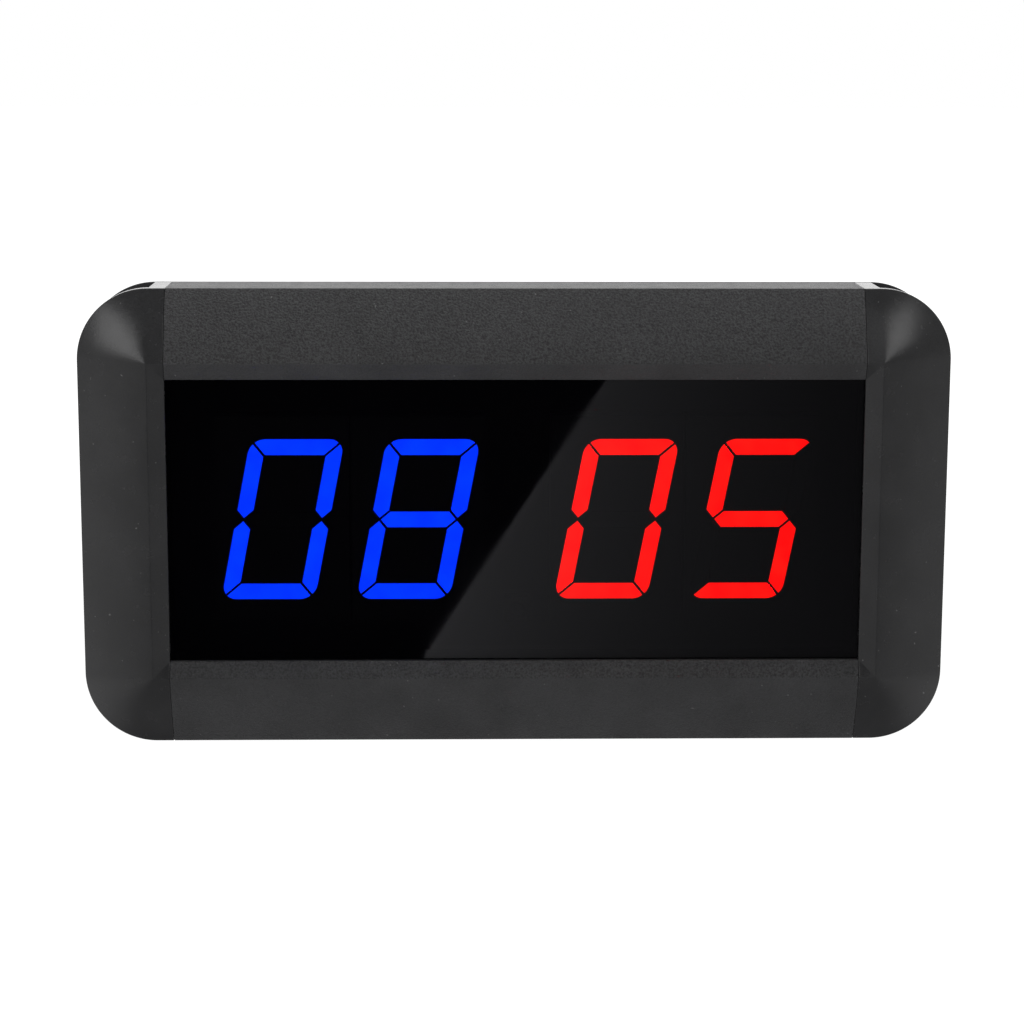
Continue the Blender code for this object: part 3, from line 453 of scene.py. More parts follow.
def moulded_plastic(name, colour, roughness, grain_depth, grain_size=0.32 * MM, grain_shade_tone=0.7):
    """Moulded plastic: a grain whose dark speckle is painted shade, strong on upward faces and faint on
    downward ones, with mottling, flow marks and specks.
    """
    made, tree = new_material(name)
    place = object_coordinates(tree)
    grain = noise(tree, place, grain_size, detail=3.0, roughness=0.6)
    flow = noise(tree, place, 14 * MM, detail=3.0)
    cloud = noise(tree, place, 3.5 * MM, detail=4.0)
    dust = noise(tree, place, 0.9 * MM, detail=1.0)

    darker = tuple(c * (1 - MOTTLE) for c in colour)
    lighter = tuple(c * (1 + MOTTLE) for c in colour)
    tone = mix_colours(tree, remap(tree, flow, 0.35, 0.65, 0, 1), darker, lighter)
    facing = tree.nodes.new("ShaderNodeNewGeometry").outputs["Normal"]
    upward = add_node(tree, "ShaderNodeSeparateXYZ", {"Vector": facing}).outputs["Z"]
    # Painted shade: the grain's dark speckle is painted into the colour. It is full on upward faces and
    # fades on downward ones, the way top light would show it.
    top_lit_mask = remap(tree, upward, -0.1, 0.15, 0.25, 1.0)
    grain_shade_mask = multiplied(tree, remap(tree, grain, 0.35, 0.6, 1, 0), top_lit_mask)
    grain_shaded_colour = mix_colours(tree, grain_shade_mask, tone, tuple(c * grain_shade_tone for c in colour))
    specks = remap(tree, dust, 0.78, 0.80, 0, 0.5)
    painted = mix_colours(tree, specks, grain_shaded_colour, (0.2, 0.2, 0.2))

    rough_cloud = remap(tree, cloud, 0.3, 0.7, roughness * 0.92, roughness * 1.08)
    waves = weighted_sum(tree, (grain, grain_depth), (flow, 0.08 * MM))
    bump = add_node(tree, "ShaderNodeBump", {"Height": waves, "Strength": 1.0, "Distance": 1.0})
    finish = {"Base Color": painted, "Roughness": rough_cloud, "Normal": bump.outputs[0], "IOR": 1.46}
    add_surface(tree, finish)
    return made


def window_acrylic(name):
    """Dark tinted acrylic with a polished face and faint wipe marks."""
    made, tree = new_material(name)
    place = object_coordinates(tree)
    smear = noise(tree, place, 22 * MM, detail=4.0)
    finish = remap(tree, smear, 0.4, 0.7, 0.02, 0.05)
    tone = mix_colours(tree, smear, (0.0006, 0.0006, 0.0009), (0.0012, 0.0010, 0.0018))
    add_surface(tree, {"Base Color": tone, "Roughness": finish, "IOR": 1.49, "Alpha": 0.6})
    return made


def lit_segment(name, colour, edge_colour):
    """A glowing light guide, a little uneven along its length."""
    made, tree = new_material(name)
    place = object_coordinates(tree)
    uneven = noise(tree, place, 5 * MM, detail=1.0)
    glow = mix_colours(tree, remap(tree, uneven, 0.35, 0.65, 0, 1), colour, edge_colour)
    finish = {"Base Color": (*colour, 1), "Roughness": 0.4}
    add_surface(tree, {**finish, "Emission Color": glow, "Emission Strength": 1.0})
    return made


def simple_finish(name, colour, roughness, metallic=0.0, grain_depth=0.004 * MM):
    """A finish with fine grain and slightly uneven colour and gloss, for small parts."""
    made, tree = new_material(name)
    place = object_coordinates(tree)
    grain = noise(tree, place, 0.5 * MM, detail=3.0)
    cloud = noise(tree, place, 4 * MM, detail=3.0)
    darker = tuple(c * 0.8 for c in colour)
    lighter = tuple(min(c * 1.2, 1) for c in colour)
    tone = mix_colours(tree, cloud, darker, lighter)
    rough = remap(tree, cloud, 0.3, 0.7, max(roughness - 0.08, 0.02), roughness + 0.08)
    height = weighted_sum(tree, (grain, grain_depth))
    bump = add_node(tree, "ShaderNodeBump", {"Height": height, "Strength": 1.0, "Distance": 1.0})
    finish = {"Base Color": tone, "Roughness": rough, "Normal": bump.outputs[0], "Metallic": metallic}
    add_surface(tree, finish)
    return made


# The rails get the darkest painted grain shade of the plastics.
RAIL_PLASTIC = moulded_plastic(
    "rail_plastic_grained", (0.038, 0.038, 0.040), 0.5, 0.40 * MM, grain_size=0.48 * MM, grain_shade_tone=0.2
)
CAP_PLASTIC = moulded_plastic("cap_plastic_satin", (0.027, 0.027, 0.028), 0.26, 0.018 * MM)
COVER_PLASTIC = moulded_plastic("cover_plastic_grained", (0.030, 0.030, 0.032), 0.55, 0.03 * MM)
WINDOW_ACRYLIC = window_acrylic("window_acrylic")
BLUE_LIT = lit_segment("blue_segment_lit", (0.0, 0.17, 6.6), (0.0, 0.24, 6.6))
RED_LIT = lit_segment("red_segment_lit", (6.6, 0.0, 0.0), (6.6, 0.03, 0.01))
UNLIT_SEGMENT = simple_finish("segment_unlit", (0.012, 0.012, 0.013), 0.5)
BLACK_PLASTIC = simple_finish("black_plastic_matt", (0.008, 0.008, 0.009), 0.5)
METAL = simple_finish("plated_steel", (0.6, 0.6, 0.62), 0.3, metallic=1.0)
BLACK_ZINC = simple_finish(
    "black_zinc", (0.10, 0.10, 0.105), 0.36, metallic=1.0, grain_depth=0.002 * MM
)
RUBBER = simple_finish("black_rubber_matt", (0.013, 0.013, 0.013), 0.8, grain_depth=0.01 * MM)
CIRCUIT_BOARD = simple_finish("solder_mask", (0.01, 0.10, 0.045), 0.35)
DISPLAY_BOARD = simple_finish("black_solder_mask", (0.006, 0.006, 0.006), 0.4)
RED_INSULATION = simple_finish("red_insulation", (0.5, 0.02, 0.02), 0.5)


# ---------------------------------------------------------------- the housing's members


def bevel_point(t):
    """A point of the sloping outer border at t from 0, the ridge, to 1, the outer front edge."""
    length = math.hypot(BEVEL, BEVEL_SETBACK)
    bulge = 4 * BEVEL_BULGE * t * (1 - t)
    return (BEVEL * t + bulge * BEVEL_SETBACK / length, BEVEL_SETBACK * t - bulge * BEVEL / length, 0)


def member_section(inside, outside=BEVEL):
    """Filleted section of a frame member. The outer wall is thinner behind its front lip
    where outside is less than BEVEL. Both kinds have the same number of points."""
    slope = BEVEL_SETBACK / BEVEL
    lip = [(BEVEL, GROOVE_FRONT - EDGE_RADIUS, 0)]
    if outside < BEVEL:
        lip += [(BEVEL, GROOVE_FRONT, EDGE_RADIUS), (outside, GROOVE_FRONT, 0)]
    else:
        lip += [(BEVEL, GROOVE_FRONT, 0), (BEVEL, GROOVE_FRONT + EDGE_RADIUS, 0)]
    corners = [(-CHAMFER, CHAMFER_SETBACK, EDGE_RADIUS), (0, 0, RIDGE_RADIUS)]
    corners += [bevel_point(i / BEVEL_STEPS) for i in range(1, BEVEL_STEPS)]
    corners += [(BEVEL, BEVEL_SETBACK, EDGE_RADIUS)] + lip
    corners += [
        (outside, MEMBER_REAR, 0),
        (GROOVE_FLOOR, MEMBER_REAR, 0),
        (inside, MEMBER_REAR, 0),
        (inside, UNDERSIDE + (inside - RIB_OUT) * slope, 0),
        (RIB_OUT, UNDERSIDE, 0),
        (RIB_OUT, RIB_REAR, 0),
        (RIB_IN, RIB_REAR, 0),
        (RIB_IN, SLOT_REAR, 0),
        (0, SLOT_REAR, 0),
        (0, SLOT_FRONT, 0),
        (RIB_IN, SLOT_FRONT, 0),
        (RIB_IN, LIP_REAR, 0),
        (-CHAMFER, LIP_REAR, 0),
    ]
    return fillet(corners)


def straight_row(section, x, up):
    """The section placed across a straight top (up = 1) or bottom (up = -1) member."""
    return [(x, FRONT + back, MIDDLE_Z + up * (RIDGE_Z + out)) for out, back in section]


def rounded_end_rows(section, x, side, up, steps=3):
    """Rows that round the member's end at x, facing the way of side, from the body outward."""
    rows = []
    for k in range(steps + 1):
        angle = math.pi / 2 * k / steps
        inset = SEAM_ROUND * (1 - math.cos(angle))
        along = SEAM_ROUND * (1 - math.sin(angle))
        rows.append(straight_row(shrink(section, inset), x - side * along, up))
    return rows


def trim_to_mitre(row):
    """Brings points beyond the window corner's mitre back onto it."""
    trimmed = []
    for x, y, z in row:
        limit = RIDGE_X + min(abs(z - MIDDLE_Z) - RIDGE_Z, 0)
        trimmed.append((math.copysign(min(abs(x), limit), x), y, z))
    return trimmed


def corner_row(section, side, up, angle):
    """The section turned about a ridge corner; what lies inside the ridge meets at a mitre."""
    row = []
    for out, back in section:
        inset = min(out, 0)
        reach = max(out, 0)
        x = RIDGE_X + inset + reach * math.cos(angle)
        z = up * (RIDGE_Z + inset + reach * math.sin(angle))
        row.append((side * x, FRONT + back, MIDDLE_Z + z))
    return row


def side_rows(section, side, steps=CORNER_STEPS):
    """The section carried round the top corner, down the side and round the bottom corner."""
    angles = [math.pi / 2 * i / steps for i in range(steps + 1)]
    rows = [corner_row(section, side, 1, angle) for angle in reversed(angles)]
    rows += [corner_row(section, side, -1, angle) for angle in angles]
    return rows


def make_rail(name, node, up):
    """A rail that all but touches the end caps, so that the seams are hairlines."""
    section = member_section(RAIL_INSIDE)
    half = SEAM_X - SEAM_GAP
    left = rounded_end_rows(section, -half, -1, up)
    right = rounded_end_rows(section, half, 1, up)
    rail = add_mesh(name, skin_rows(left[::-1] + right))
    finish_piece(rail, "housing", RAIL_PLASTIC, "rail_plastic", node)


def make_cap_shell(name, side):
    """An end cap's shell: its side groove runs round the corners between the two seams."""
    plain = member_section(CAP_INSIDE)
    grooved = member_section(CAP_INSIDE, GROOVE_FLOOR)
    upright = math.pi / 2
    top = [trim_to_mitre(row) for row in rounded_end_rows(plain, side * SEAM_X, -side, 1)]
    bottom = [trim_to_mitre(row) for row in rounded_end_rows(plain, side * SEAM_X, -side, -1)]
    rows = top[::-1] + [corner_row(plain, side, 1, upright)]
    rows += side_rows(grooved, side)
    rows += [corner_row(plain, side, -1, upright)] + bottom
    cap = add_mesh(name, skin_rows(rows))
    for up in (1, -1):
        add_cap_fixings(cap, side, up)
    return cap


def add_cap_fixings(cap, side, up):
    """One corner's screw post, the wall behind the seam and the tongue that enters the rail."""
    post_x, post_z = post_place(side, up)
    place = (post_x, FRONT, post_z)
    combine(cap, [rod("post", POST_RADIUS, POST_START, POST_END, place, REARWARD)], "UNION")
    combine(cap, [end_web(side, up)], "UNION")
    combine(cap, [rail_tongue(side, up)], "UNION")
    pilot = rod("pilot", PILOT_RADIUS, PILOT_START, DEPTH, place, REARWARD, 24)
    combine(cap, [pilot], "DIFFERENCE")


def post_place(side, up):
    """Where a corner's screw post stands, on the corner's diagonal."""
    return side * (RIDGE_X + POST_OFFSET), MIDDLE_Z + up * (RIDGE_Z + POST_OFFSET)


def end_web(side, up):
    """The wall that closes an end cap where it meets a rail."""
    near = side * (SEAM_X + 0.2 * MM)
    far = near + side * WALL
    inner = MIDDLE_Z + up * (RIDGE_Z + RIB_OUT / 2)
    outer = MIDDLE_Z + up * (RIDGE_Z + CAP_INSIDE + WALL / 2)
    return block("end_web", (near, FRONT + 7.6 * MM, inner), (far, FRONT + MEMBER_REAR - GAP, outer))


def rail_tongue(side, up):
    """The block that plugs an end cap into a rail."""
    near = side * (SEAM_X + WALL / 2)
    far = side * (SEAM_X - 9 * MM)
    inner = MIDDLE_Z + up * (RIDGE_Z + 7 * MM)
    outer = MIDDLE_Z + up * (RIDGE_Z + RAIL_INSIDE - GAP)
    start = (near, FRONT + 9.5 * MM, inner)
    return block("tongue", start, (far, FRONT + 19 * MM, outer), edge=0.6 * MM)


def wall_hole(place, side, radius, flare=0.35 * MM):
    """A cutter through an end cap's groove floor, its mouth flared."""
    corners = [
        (0, -2 * WALL), (radius, -2 * WALL), (radius, -flare), (radius + flare, 0),
        (radius + flare, WALL), (0, WALL),
    ]
    return turned("wall_hole", corners, (side * FLOOR_X, place.y, place.z), (side, 0, 0))


def make_left_cap():
    """The left end cap, with its three button holes and the button board's two posts."""
    cap = make_cap_shell("left_end_cap_moulding", -1)
    places = [node_middle(f"push_button_{index}") for index in (1, 2, 3)]
    combine(cap, [wall_hole(place, -1, BUTTON_HOLE) for place in places], "DIFFERENCE")
    board_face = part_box("button_board")[0].x
    length = -board_face - GAP - FLOOR_X + 0.5 * WALL
    for index in (1, 2):
        middle = node_middle(f"button_board_screw_{index}")
        place = (-FLOOR_X, middle.y, middle.z)
        post = rod("board_post", 2.2 * MM, length, -0.5 * WALL, place, LEFTWARD, 32)
        combine(cap, [post], "UNION")
        pilot = rod("board_pilot", 1.1 * MM, length - WALL, -2 * WALL, place, LEFTWARD, 20)
        combine(cap, [pilot], "DIFFERENCE")
    finish_piece(cap, "housing", CAP_PLASTIC, "cap_plastic", "left_end_cap")


def make_right_cap():
    """The right end cap, with its openings for the power switch and the power socket."""
    cap = make_cap_shell("right_end_cap_moulding", 1)
    switch = node_middle("power_rocker")
    opening = block(
        "rocker_opening",
        (FLOOR_X - 2 * WALL, switch.y - ROCKER_OPENING_Y, switch.z - ROCKER_OPENING_Z),
        (FLOOR_X + WALL, switch.y + ROCKER_OPENING_Y, switch.z + ROCKER_OPENING_Z),
    )
    socket = wall_hole(node_middle("power_socket"), 1, SOCKET_HOLE, 0.2 * MM)
    combine(cap, [opening, socket], "DIFFERENCE")
    finish_piece(cap, "housing", CAP_PLASTIC, "cap_plastic", "right_end_cap")


def make_housing():
    make_rail("top_rail_moulding", "top_rail", 1)
    make_rail("bottom_rail_moulding", "bottom_rail", -1)
    make_left_cap()
    make_right_cap()


# ---------------------------------------------------------------- back cover and feet


def rounded_loop(out, back):
    """A closed loop at one distance outward of the ridge and one depth behind it."""
    right = [row[0] for row in side_rows([(out, back)], 1)]
    left = [row[0] for row in side_rows([(out, back)], -1)]
    return right + left[::-1]


def keyhole_outline(grow, steps=16):
    """A round entry with a slot above it, about the middle of the round."""
    head = 4.7 * MM + grow
    slot = 2.5 * MM + grow
    slot_top = 10 * MM
    join_angle = math.asin(slot / head)
    entry = arc(head, math.pi / 2 + join_angle, math.pi * 5 / 2 - join_angle, 2 * steps)
    return entry + arc(slot, 0, math.pi, steps, z=slot_top)


def flared_cutter(name, grown_outline, x, z):
    """A cutter through the cover's rear wall, its mouth a little wider at the rear face."""
    flare = 0.3 * MM
    levels = [(0, TRAY_INSIDE - WALL), (0, DEPTH - flare), (flare, DEPTH), (flare, DEPTH + WALL)]
    rows = []
    for grow, back in levels:
        rows.append([(x + px, FRONT + back, z + pz) for px, pz in grown_outline(grow)])
    return add_mesh(name, skin_rows(rows))


def vent_outline(grow, steps=8):
    """An upright slot with round ends."""
    half = 0.9 * MM + grow
    straight = 5.1 * MM
    top = arc(half, 0, math.pi, steps, z=straight)
    return top + arc(half, math.pi, 2 * math.pi, steps, z=-straight)


def hole_outline(grow, steps=20):
    """One of the grille's round holes."""
    return arc(0.9 * MM + grow, 0, 2 * math.pi, steps)[:-1]


def cover_cutters():
    """Everything that is cut from the back cover."""
    cutters = [foot_pilot(side) for side in (-1, 1)]
    cutters += [screw_seat(side, up) for side in (-1, 1) for up in (-1, 1)]
    for side in (-1, 1):
        cutters.append(flared_cutter("keyhole", keyhole_outline, side * KEYHOLE_X, KEYHOLE_Z))
    buzzer = node_middle("buzzer")
    for ring, count in GRILLE_RINGS:
        for i in range(count):
            angle = 2 * math.pi * i / count
            x = buzzer.x + ring * math.cos(angle)
            z = buzzer.z + ring * math.sin(angle)
            cutters.append(flared_cutter("grille_hole", hole_outline, x, z))
    for i in range(VENTS):
        x = (i - (VENTS - 1) / 2) * VENT_PITCH
        cutters.append(flared_cutter("vent", vent_outline, x, VENT_Z))
    return cutters


def make_back_cover():
    """A plate on the members' rear faces, with a tray that stands out behind it."""
    corners = [
        (TRAY_IN, TRAY_INSIDE), (TRAY_IN, PLATE_FRONT), (BEVEL, PLATE_FRONT, 0.15 * MM),
        (BEVEL, PLATE_REAR, 0.4 * MM), (TRAY_OUT, PLATE_REAR, 0.4 * MM),
        (TRAY_OUT, DEPTH, 0.9 * MM), (0, DEPTH),
    ]
    rows = [rounded_loop(out, back) for out, back in open_outline(corners)[:-1]]
    cover = add_mesh("back_cover_moulding", skin_rows(rows))
    for side in (-1, 1):
        combine(cover, [foot_boss(side)], "UNION")
    combine(cover, cover_cutters(), "DIFFERENCE")
    finish_piece(cover, "housing", COVER_PLASTIC, "cover_plastic", "back_cover")


def screw_seat(side, up):
    """A cutter for a corner screw's clearance hole and countersink."""
    x, z = post_place(side, up)
    start = TRAY_INSIDE - 1 * MM
    corners = [
        (0, start), (1.7 * MM, start), (1.7 * MM, TRAY_INSIDE + 0.5 * MM),
        (3.1 * MM, DEPTH - 0.1 * MM), (3.1 * MM, DEPTH + 1 * MM), (0, DEPTH + 1 * MM),
    ]
    return turned("screw_seat", corners, (x, FRONT, z), REARWARD)


def foot_boss(side):
    """The post inside the tray's lower wall that takes a foot's pivot screw."""
    start = FOOT_TOP + GAP + 0.5 * MM
    place = (side * FOOT_PIVOT_X, FOOT_Y, 0)
    return rod("foot_boss", 2.4 * MM, start, start + 8.5 * MM, place, UPWARD, 32)


def foot_pilot(side):
    """A cutter for the hole that a foot's pivot screw bites into."""
    start = FOOT_TOP + GAP - 1 * MM
    place = (side * FOOT_PIVOT_X, FOOT_Y, 0)
    return rod("foot_pilot", PILOT_RADIUS, start, start + 8 * MM, place, UPWARD, 24)


def make_foot(hand, side):
    """A bar with a round pivot end and a finger scoop near its free end."""
    corners = [
        (-FOOT_RADIUS, FOOT_RADIUS, FOOT_RADIUS), (-FOOT_RADIUS, -FOOT_RADIUS, FOOT_RADIUS),
        (FOOT_LENGTH, -FOOT_RADIUS, 2 * MM), (FOOT_LENGTH, FOOT_RADIUS, 1.2 * MM),
    ]

    def to_place(x, y, height):
        return (side * (FOOT_PIVOT_X - x), FOOT_Y + y, height)

    bar = fillet(corners, steps=12)
    foot = rounded_prism(f"{hand}_foot_bar", bar, FOOT_BOTTOM, FOOT_TOP, 0.5 * MM, to_place)
    bore = [
        (0, -1 * MM), (2.4 * MM, -1 * MM), (2.4 * MM, 1.4 * MM),
        (PILOT_RADIUS, 1.4 * MM), (PILOT_RADIUS, 6 * MM), (0, 6 * MM),
    ]
    pivot = (side * FOOT_PIVOT_X, FOOT_Y, FOOT_BOTTOM)
    combine(foot, [turned("bore", bore, pivot, UPWARD)], "DIFFERENCE")
    place = (side * (FOOT_PIVOT_X - FOOT_LENGTH + 9 * MM), FOOT_Y + FOOT_RADIUS + 2.6 * MM, 0)
    combine(foot, [rod("scoop", 4.2 * MM, -2 * MM, 8 * MM, place, UPWARD, 64)], "DIFFERENCE")
    finish_piece(foot, f"{hand}_foot", CAP_PLASTIC, "cap_plastic", f"{hand}_swing_foot")


def cut_cross(screw, place, axis, top, half_length):
    """Cuts a cross recess whose slots narrow towards the bottom."""
    turn = Vector((0, 0, 1)).rotation_difference(Vector(axis)).to_matrix()
    narrow = (half_length * 0.45, 0.16 * MM, top - 1.1 * MM)
    wide = (half_length, 0.3 * MM, top + 0.4 * MM)
    for quarter in (0, 1):
        rows = []
        for half, thick, height in (narrow, wide):
            corners = ((half, thick), (-half, thick), (-half, -thick), (half, -thick))
            rows.append([(x, y, height) for x, y in corners])
        bm = skin_rows(rows)
        upright = Matrix.Rotation(quarter * math.pi / 2, 3, "Z")
        bmesh.ops.rotate(bm, cent=(0, 0, 0), matrix=upright, verts=bm.verts)
        bmesh.ops.rotate(bm, cent=(0, 0, 0), matrix=turn, verts=bm.verts)
        bmesh.ops.translate(bm, vec=place, verts=bm.verts)
        combine(screw, [add_mesh("cross", bm)], "DIFFERENCE")


def make_cover_screws():
    """Countersunk screws at the cover's corners."""
    top = DEPTH - 0.15 * MM
    corners = [
        (0, top - 13 * MM), (0.5 * MM, top - 13 * MM), (1 * MM, top - 12 * MM),
        (1 * MM, top - 1.75 * MM), (2.7 * MM, top - 0.25 * MM), (2.7 * MM, top, 0.12 * MM),
        (0, top + 0.05 * MM),
    ]
    index = 0
    for side in (-1, 1):
        for up in (1, -1):
            index += 1
            x, z = post_place(side, up)
            screw = turned(f"cover_screw_{index}_fastener", corners, (x, FRONT, z), REARWARD)
            cut_cross(screw, (x, FRONT, z), REARWARD, top, 1.5 * MM)
            finish_piece(screw, "housing", BLACK_ZINC, "bright_metal", f"cover_screw_{index}")


def make_foot_screw(hand, side):
    """A foot's pivot screw, its head sunk in the foot's underside."""
    corners = [
        (0, 10.3 * MM), (0.6 * MM, 10.3 * MM), (1.1 * MM, 9.5 * MM), (1.1 * MM, 1.15 * MM),
        (2.15 * MM, 1.15 * MM), (2.15 * MM, 0.15 * MM, 0.2 * MM), (0, 0.1 * MM),
    ]
    place = (side * FOOT_PIVOT_X, FOOT_Y, FOOT_BOTTOM)
    screw = turned(f"{hand}_foot_pivot_screw", corners, place, UPWARD)
    cut_cross(screw, place, (0, 0, -1), -0.15 * MM, 1.2 * MM)
    finish_piece(screw, "housing", BLACK_ZINC, "bright_metal", f"{hand}_foot_screw")


def make_rear():
    make_back_cover()
    make_cover_screws()
    for hand, side in (("left", -1), ("right", 1)):
        make_foot(hand, side)
        make_foot_screw(hand, side)


# ---------------------------------------------------------------- side controls


def make_push_buttons():
    """Rubber buttons with a dished top, each held by a flange inside the wall."""
    for index in (1, 2, 3):
        node = f"push_button_{index}"
        low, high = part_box(node)
        length = high.x - low.x
        crown = length - 0.12 * MM
        flange = length - 5 * MM
        flange_end = length - 3.8 * MM
        corners = [
            (0, 0), (1.5 * MM, 0), (1.5 * MM, flange), (4 * MM, flange, 0.3 * MM),
            (4 * MM, flange_end, 0.2 * MM), (3 * MM, flange_end, 0.2 * MM), (3 * MM, length, 0.7 * MM),
            (1.9 * MM, length, 0.4 * MM), (1.2 * MM, crown, 0.4 * MM), (0, crown),
        ]
        middle = node_middle(node)
        button = turned(f"push_button_{index}_cap", corners, (high.x, middle.y, middle.z), LEFTWARD)
        finish_piece(button, f"button_{index}", RUBBER, "black_rubber", node)


def make_switch():
    """A snap-in switch body with a rounded bezel, and its two tabs."""
    rocker = node_middle("power_rocker")
    centre = Vector((FLOOR_X, rocker.y, rocker.z))
    body_low, body_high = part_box("power_switch_body")

    def around(x_start, x_end, half_y, half_z, name, edge=0.0):
        return block(
            name, (x_start, centre.y - half_y, centre.z - half_z),
            (x_end, centre.y + half_y, centre.z + half_z), edge,
        )

    bezel_back = FLOOR_X + GAP
    body = around(FLOOR_X - 9.7 * MM, bezel_back + 0.6 * MM, 4.25 * MM, 6.75 * MM, "power_switch_case")
    combine(body, [around(bezel_back, body_high.x, 5.2 * MM, 7.7 * MM, "bezel", 0.4 * MM)], "UNION")
    well = around(FLOOR_X - 3.6 * MM, FLOOR_X + 4 * MM, 3.3 * MM, 5.8 * MM, "well")
    combine(body, [well], "DIFFERENCE")
    finish_piece(body, "housing", BLACK_PLASTIC, "black_plastic", "power_switch_body")
    tabs = []
    for up in (-1, 1):
        z = centre.z + up * 4 * MM
        low = (body_low.x, centre.y - 2.25 * MM, z - 0.4 * MM)
        high = (FLOOR_X - 9.72 * MM, centre.y + 2.25 * MM, z + 0.4 * MM)
        tabs.append(block("tab", low, high, edge=0.1 * MM))
    finish_piece(join(tabs, "power_switch_tabs"), "housing", METAL, "bright_metal")
    make_rocker(centre)


def make_rocker(centre):
    """A dished rocker, tilted about its own axis."""
    half = 5.2 * MM
    crown = 1.2 * MM
    dip = 0.7 * MM
    steps = 12
    outline = [(-1.9 * MM, -3.1 * MM), (-1.9 * MM, 3.1 * MM)]
    for i in range(steps + 1):
        z = half * (1 - 2 * i / steps)
        outline.append((crown - dip * (1 - (z / half) ** 2), z))

    def to_place(x, z, height):
        return (x, height, z)

    rocker = rounded_prism("rocker_key", outline, -3 * MM, 3 * MM, 0.3 * MM, to_place)
    rocker.data.transform(Matrix.Translation(centre) @ Matrix.Rotation(ROCKER_TILT, 4, "Y"))
    finish_piece(rocker, "rocker", BLACK_PLASTIC, "black_plastic", "power_rocker", sharp_angle=50)


def make_socket():
    """A barrel socket: its square body, round nose with a bore, and the centre pin."""
    low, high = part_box("power_socket")
    middle = node_middle("power_socket")
    inside_x = FLOOR_X - WALL
    case_end = (inside_x - GAP, high.y, high.z)
    body = block("power_socket_case", tuple(low), case_end, edge=0.4 * MM)
    place = (inside_x, middle.y, middle.z)
    top = high.x - inside_x
    nose = [(0, -2 * MM), (4 * MM, -2 * MM), (4 * MM, top, 0.3 * MM), (0, top)]
    combine(body, [turned("nose", nose, place, RIGHTWARD, 64)], "UNION")
    bore = [
        (0, -7.5 * MM), (3.05 * MM, -7.5 * MM), (3.05 * MM, top - 0.3 * MM), (3.35 * MM, top),
        (3.35 * MM, top + 1 * MM), (0, top + 1 * MM),
    ]
    combine(body, [turned("bore", bore, place, RIGHTWARD, 64)], "DIFFERENCE")
    finish_piece(body, "housing", BLACK_PLASTIC, "black_plastic", "power_socket")
    pin = [(0, -7.45 * MM), (1 * MM, -7.45 * MM), (1 * MM, 1.8 * MM, 0.5 * MM), (0, 1.8 * MM)]
    pin_piece = turned("power_socket_pin", pin, place, RIGHTWARD, 32)
    finish_piece(pin_piece, "housing", METAL, "bright_metal")


def make_controls():
    make_push_buttons()
    make_switch()
    make_socket()


# ---------------------------------------------------------------- window and digits


def make_window():
    low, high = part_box("front_lens")
    window = block("window_pane", low, high, edge=0.15 * MM)
    finish_piece(window, "housing", WINDOW_ACRYLIC, "tinted_acrylic", "front_lens")


STROKE = 3.6 * MM
STROKE_GAP = 0.62 * MM
DIGIT_WIDTH = 21.55 * MM
DIGIT_HEIGHT = 37.35 * MM
DIGIT_CORNER = 3.4 * MM
SLANT = math.radians(10.9)
SEGMENTS = ("top", "upper_right", "lower_right", "bottom", "lower_left", "upper_left", "middle")
UNLIT = {1: ("middle",), 2: (), 3: ("middle",), 4: ("upper_right", "lower_left")}


def segment_outlines(steps=6):
    """The seven bars of a digit about its middle, in the order of SEGMENTS."""
    half_w = DIGIT_WIDTH / 2
    half_h = DIGIT_HEIGHT / 2
    apart = STROKE_GAP / math.sqrt(2)
    centre = (half_w - DIGIT_CORNER, half_h - DIGIT_CORNER)
    past = apart / DIGIT_CORNER / math.sqrt(2)
    inner_x = half_w - STROKE
    top = [(inner_x - apart, half_h - STROKE)]
    top += arc(DIGIT_CORNER, math.pi / 4 + past, math.pi / 2, steps, *centre)
    top += [(-x, z) for x, z in reversed(top)]
    upper_right = arc(DIGIT_CORNER, 0, math.pi / 4 - past, steps, *centre)
    upper_right += [(inner_x, half_h - STROKE - apart), (inner_x, STROKE / 2 + apart)]
    upper_right += [(half_w - STROKE / 2, apart), (half_w, STROKE / 2 + apart)]
    tip = half_w - STROKE / 2 - apart
    middle = [(inner_x - apart, STROKE / 2), (tip, 0), (inner_x - apart, -STROKE / 2)]
    middle += [(-x, -z) for x, z in middle]
    return [
        top,
        upper_right,
        [(x, -z) for x, z in upper_right],
        [(x, -z) for x, z in top],
        [(-x, -z) for x, z in upper_right],
        [(-x, z) for x, z in upper_right],
        middle,
    ]


def make_digit(index, light, slot_name):
    """A digit's bars as two pieces, the lit ones and the unlit ones."""
    middle = node_middle(f"digit_housing_{index}")
    guide_low, guide_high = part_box(f"digit_light_guide_{index}")
    round_edge = 0.12 * MM
    pieces = {True: [], False: []}
    for segment, outline in zip(SEGMENTS, segment_outlines()):
        slanted = [(middle.x + x + z * math.tan(SLANT), middle.z + z) for x, z in outline]
        rows = []
        levels = ((round_edge, guide_low.y), (0, guide_low.y + round_edge), (0, guide_high.y))
        for inset, y in levels:
            rows.append([(x, y, z) for x, z in shrink(slanted, inset)])
        bar = add_mesh(f"digit_{index}_{segment}_bar", skin_rows(rows))
        pieces[segment not in UNLIT[index]].append(bar)
    for is_lit, bars in pieces.items():
        if not bars:
            continue
        joined = join(bars, f"digit_{index}_{'lit' if is_lit else 'unlit'}_bars")
        finish_piece(joined, "housing", light if is_lit else UNLIT_SEGMENT, slot_name)
        if is_lit:
            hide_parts(f"digit_light_guide_{index}")


def make_display():
    for index in (1, 2):
        make_digit(index, BLUE_LIT, "blue_light")
    for index in (3, 4):
        make_digit(index, RED_LIT, "red_light")


# ---------------------------------------------------------------- carried-over nodes


def numbered(stem, count):
    return [f"{stem}_{index}" for index in range(1, count + 1)]


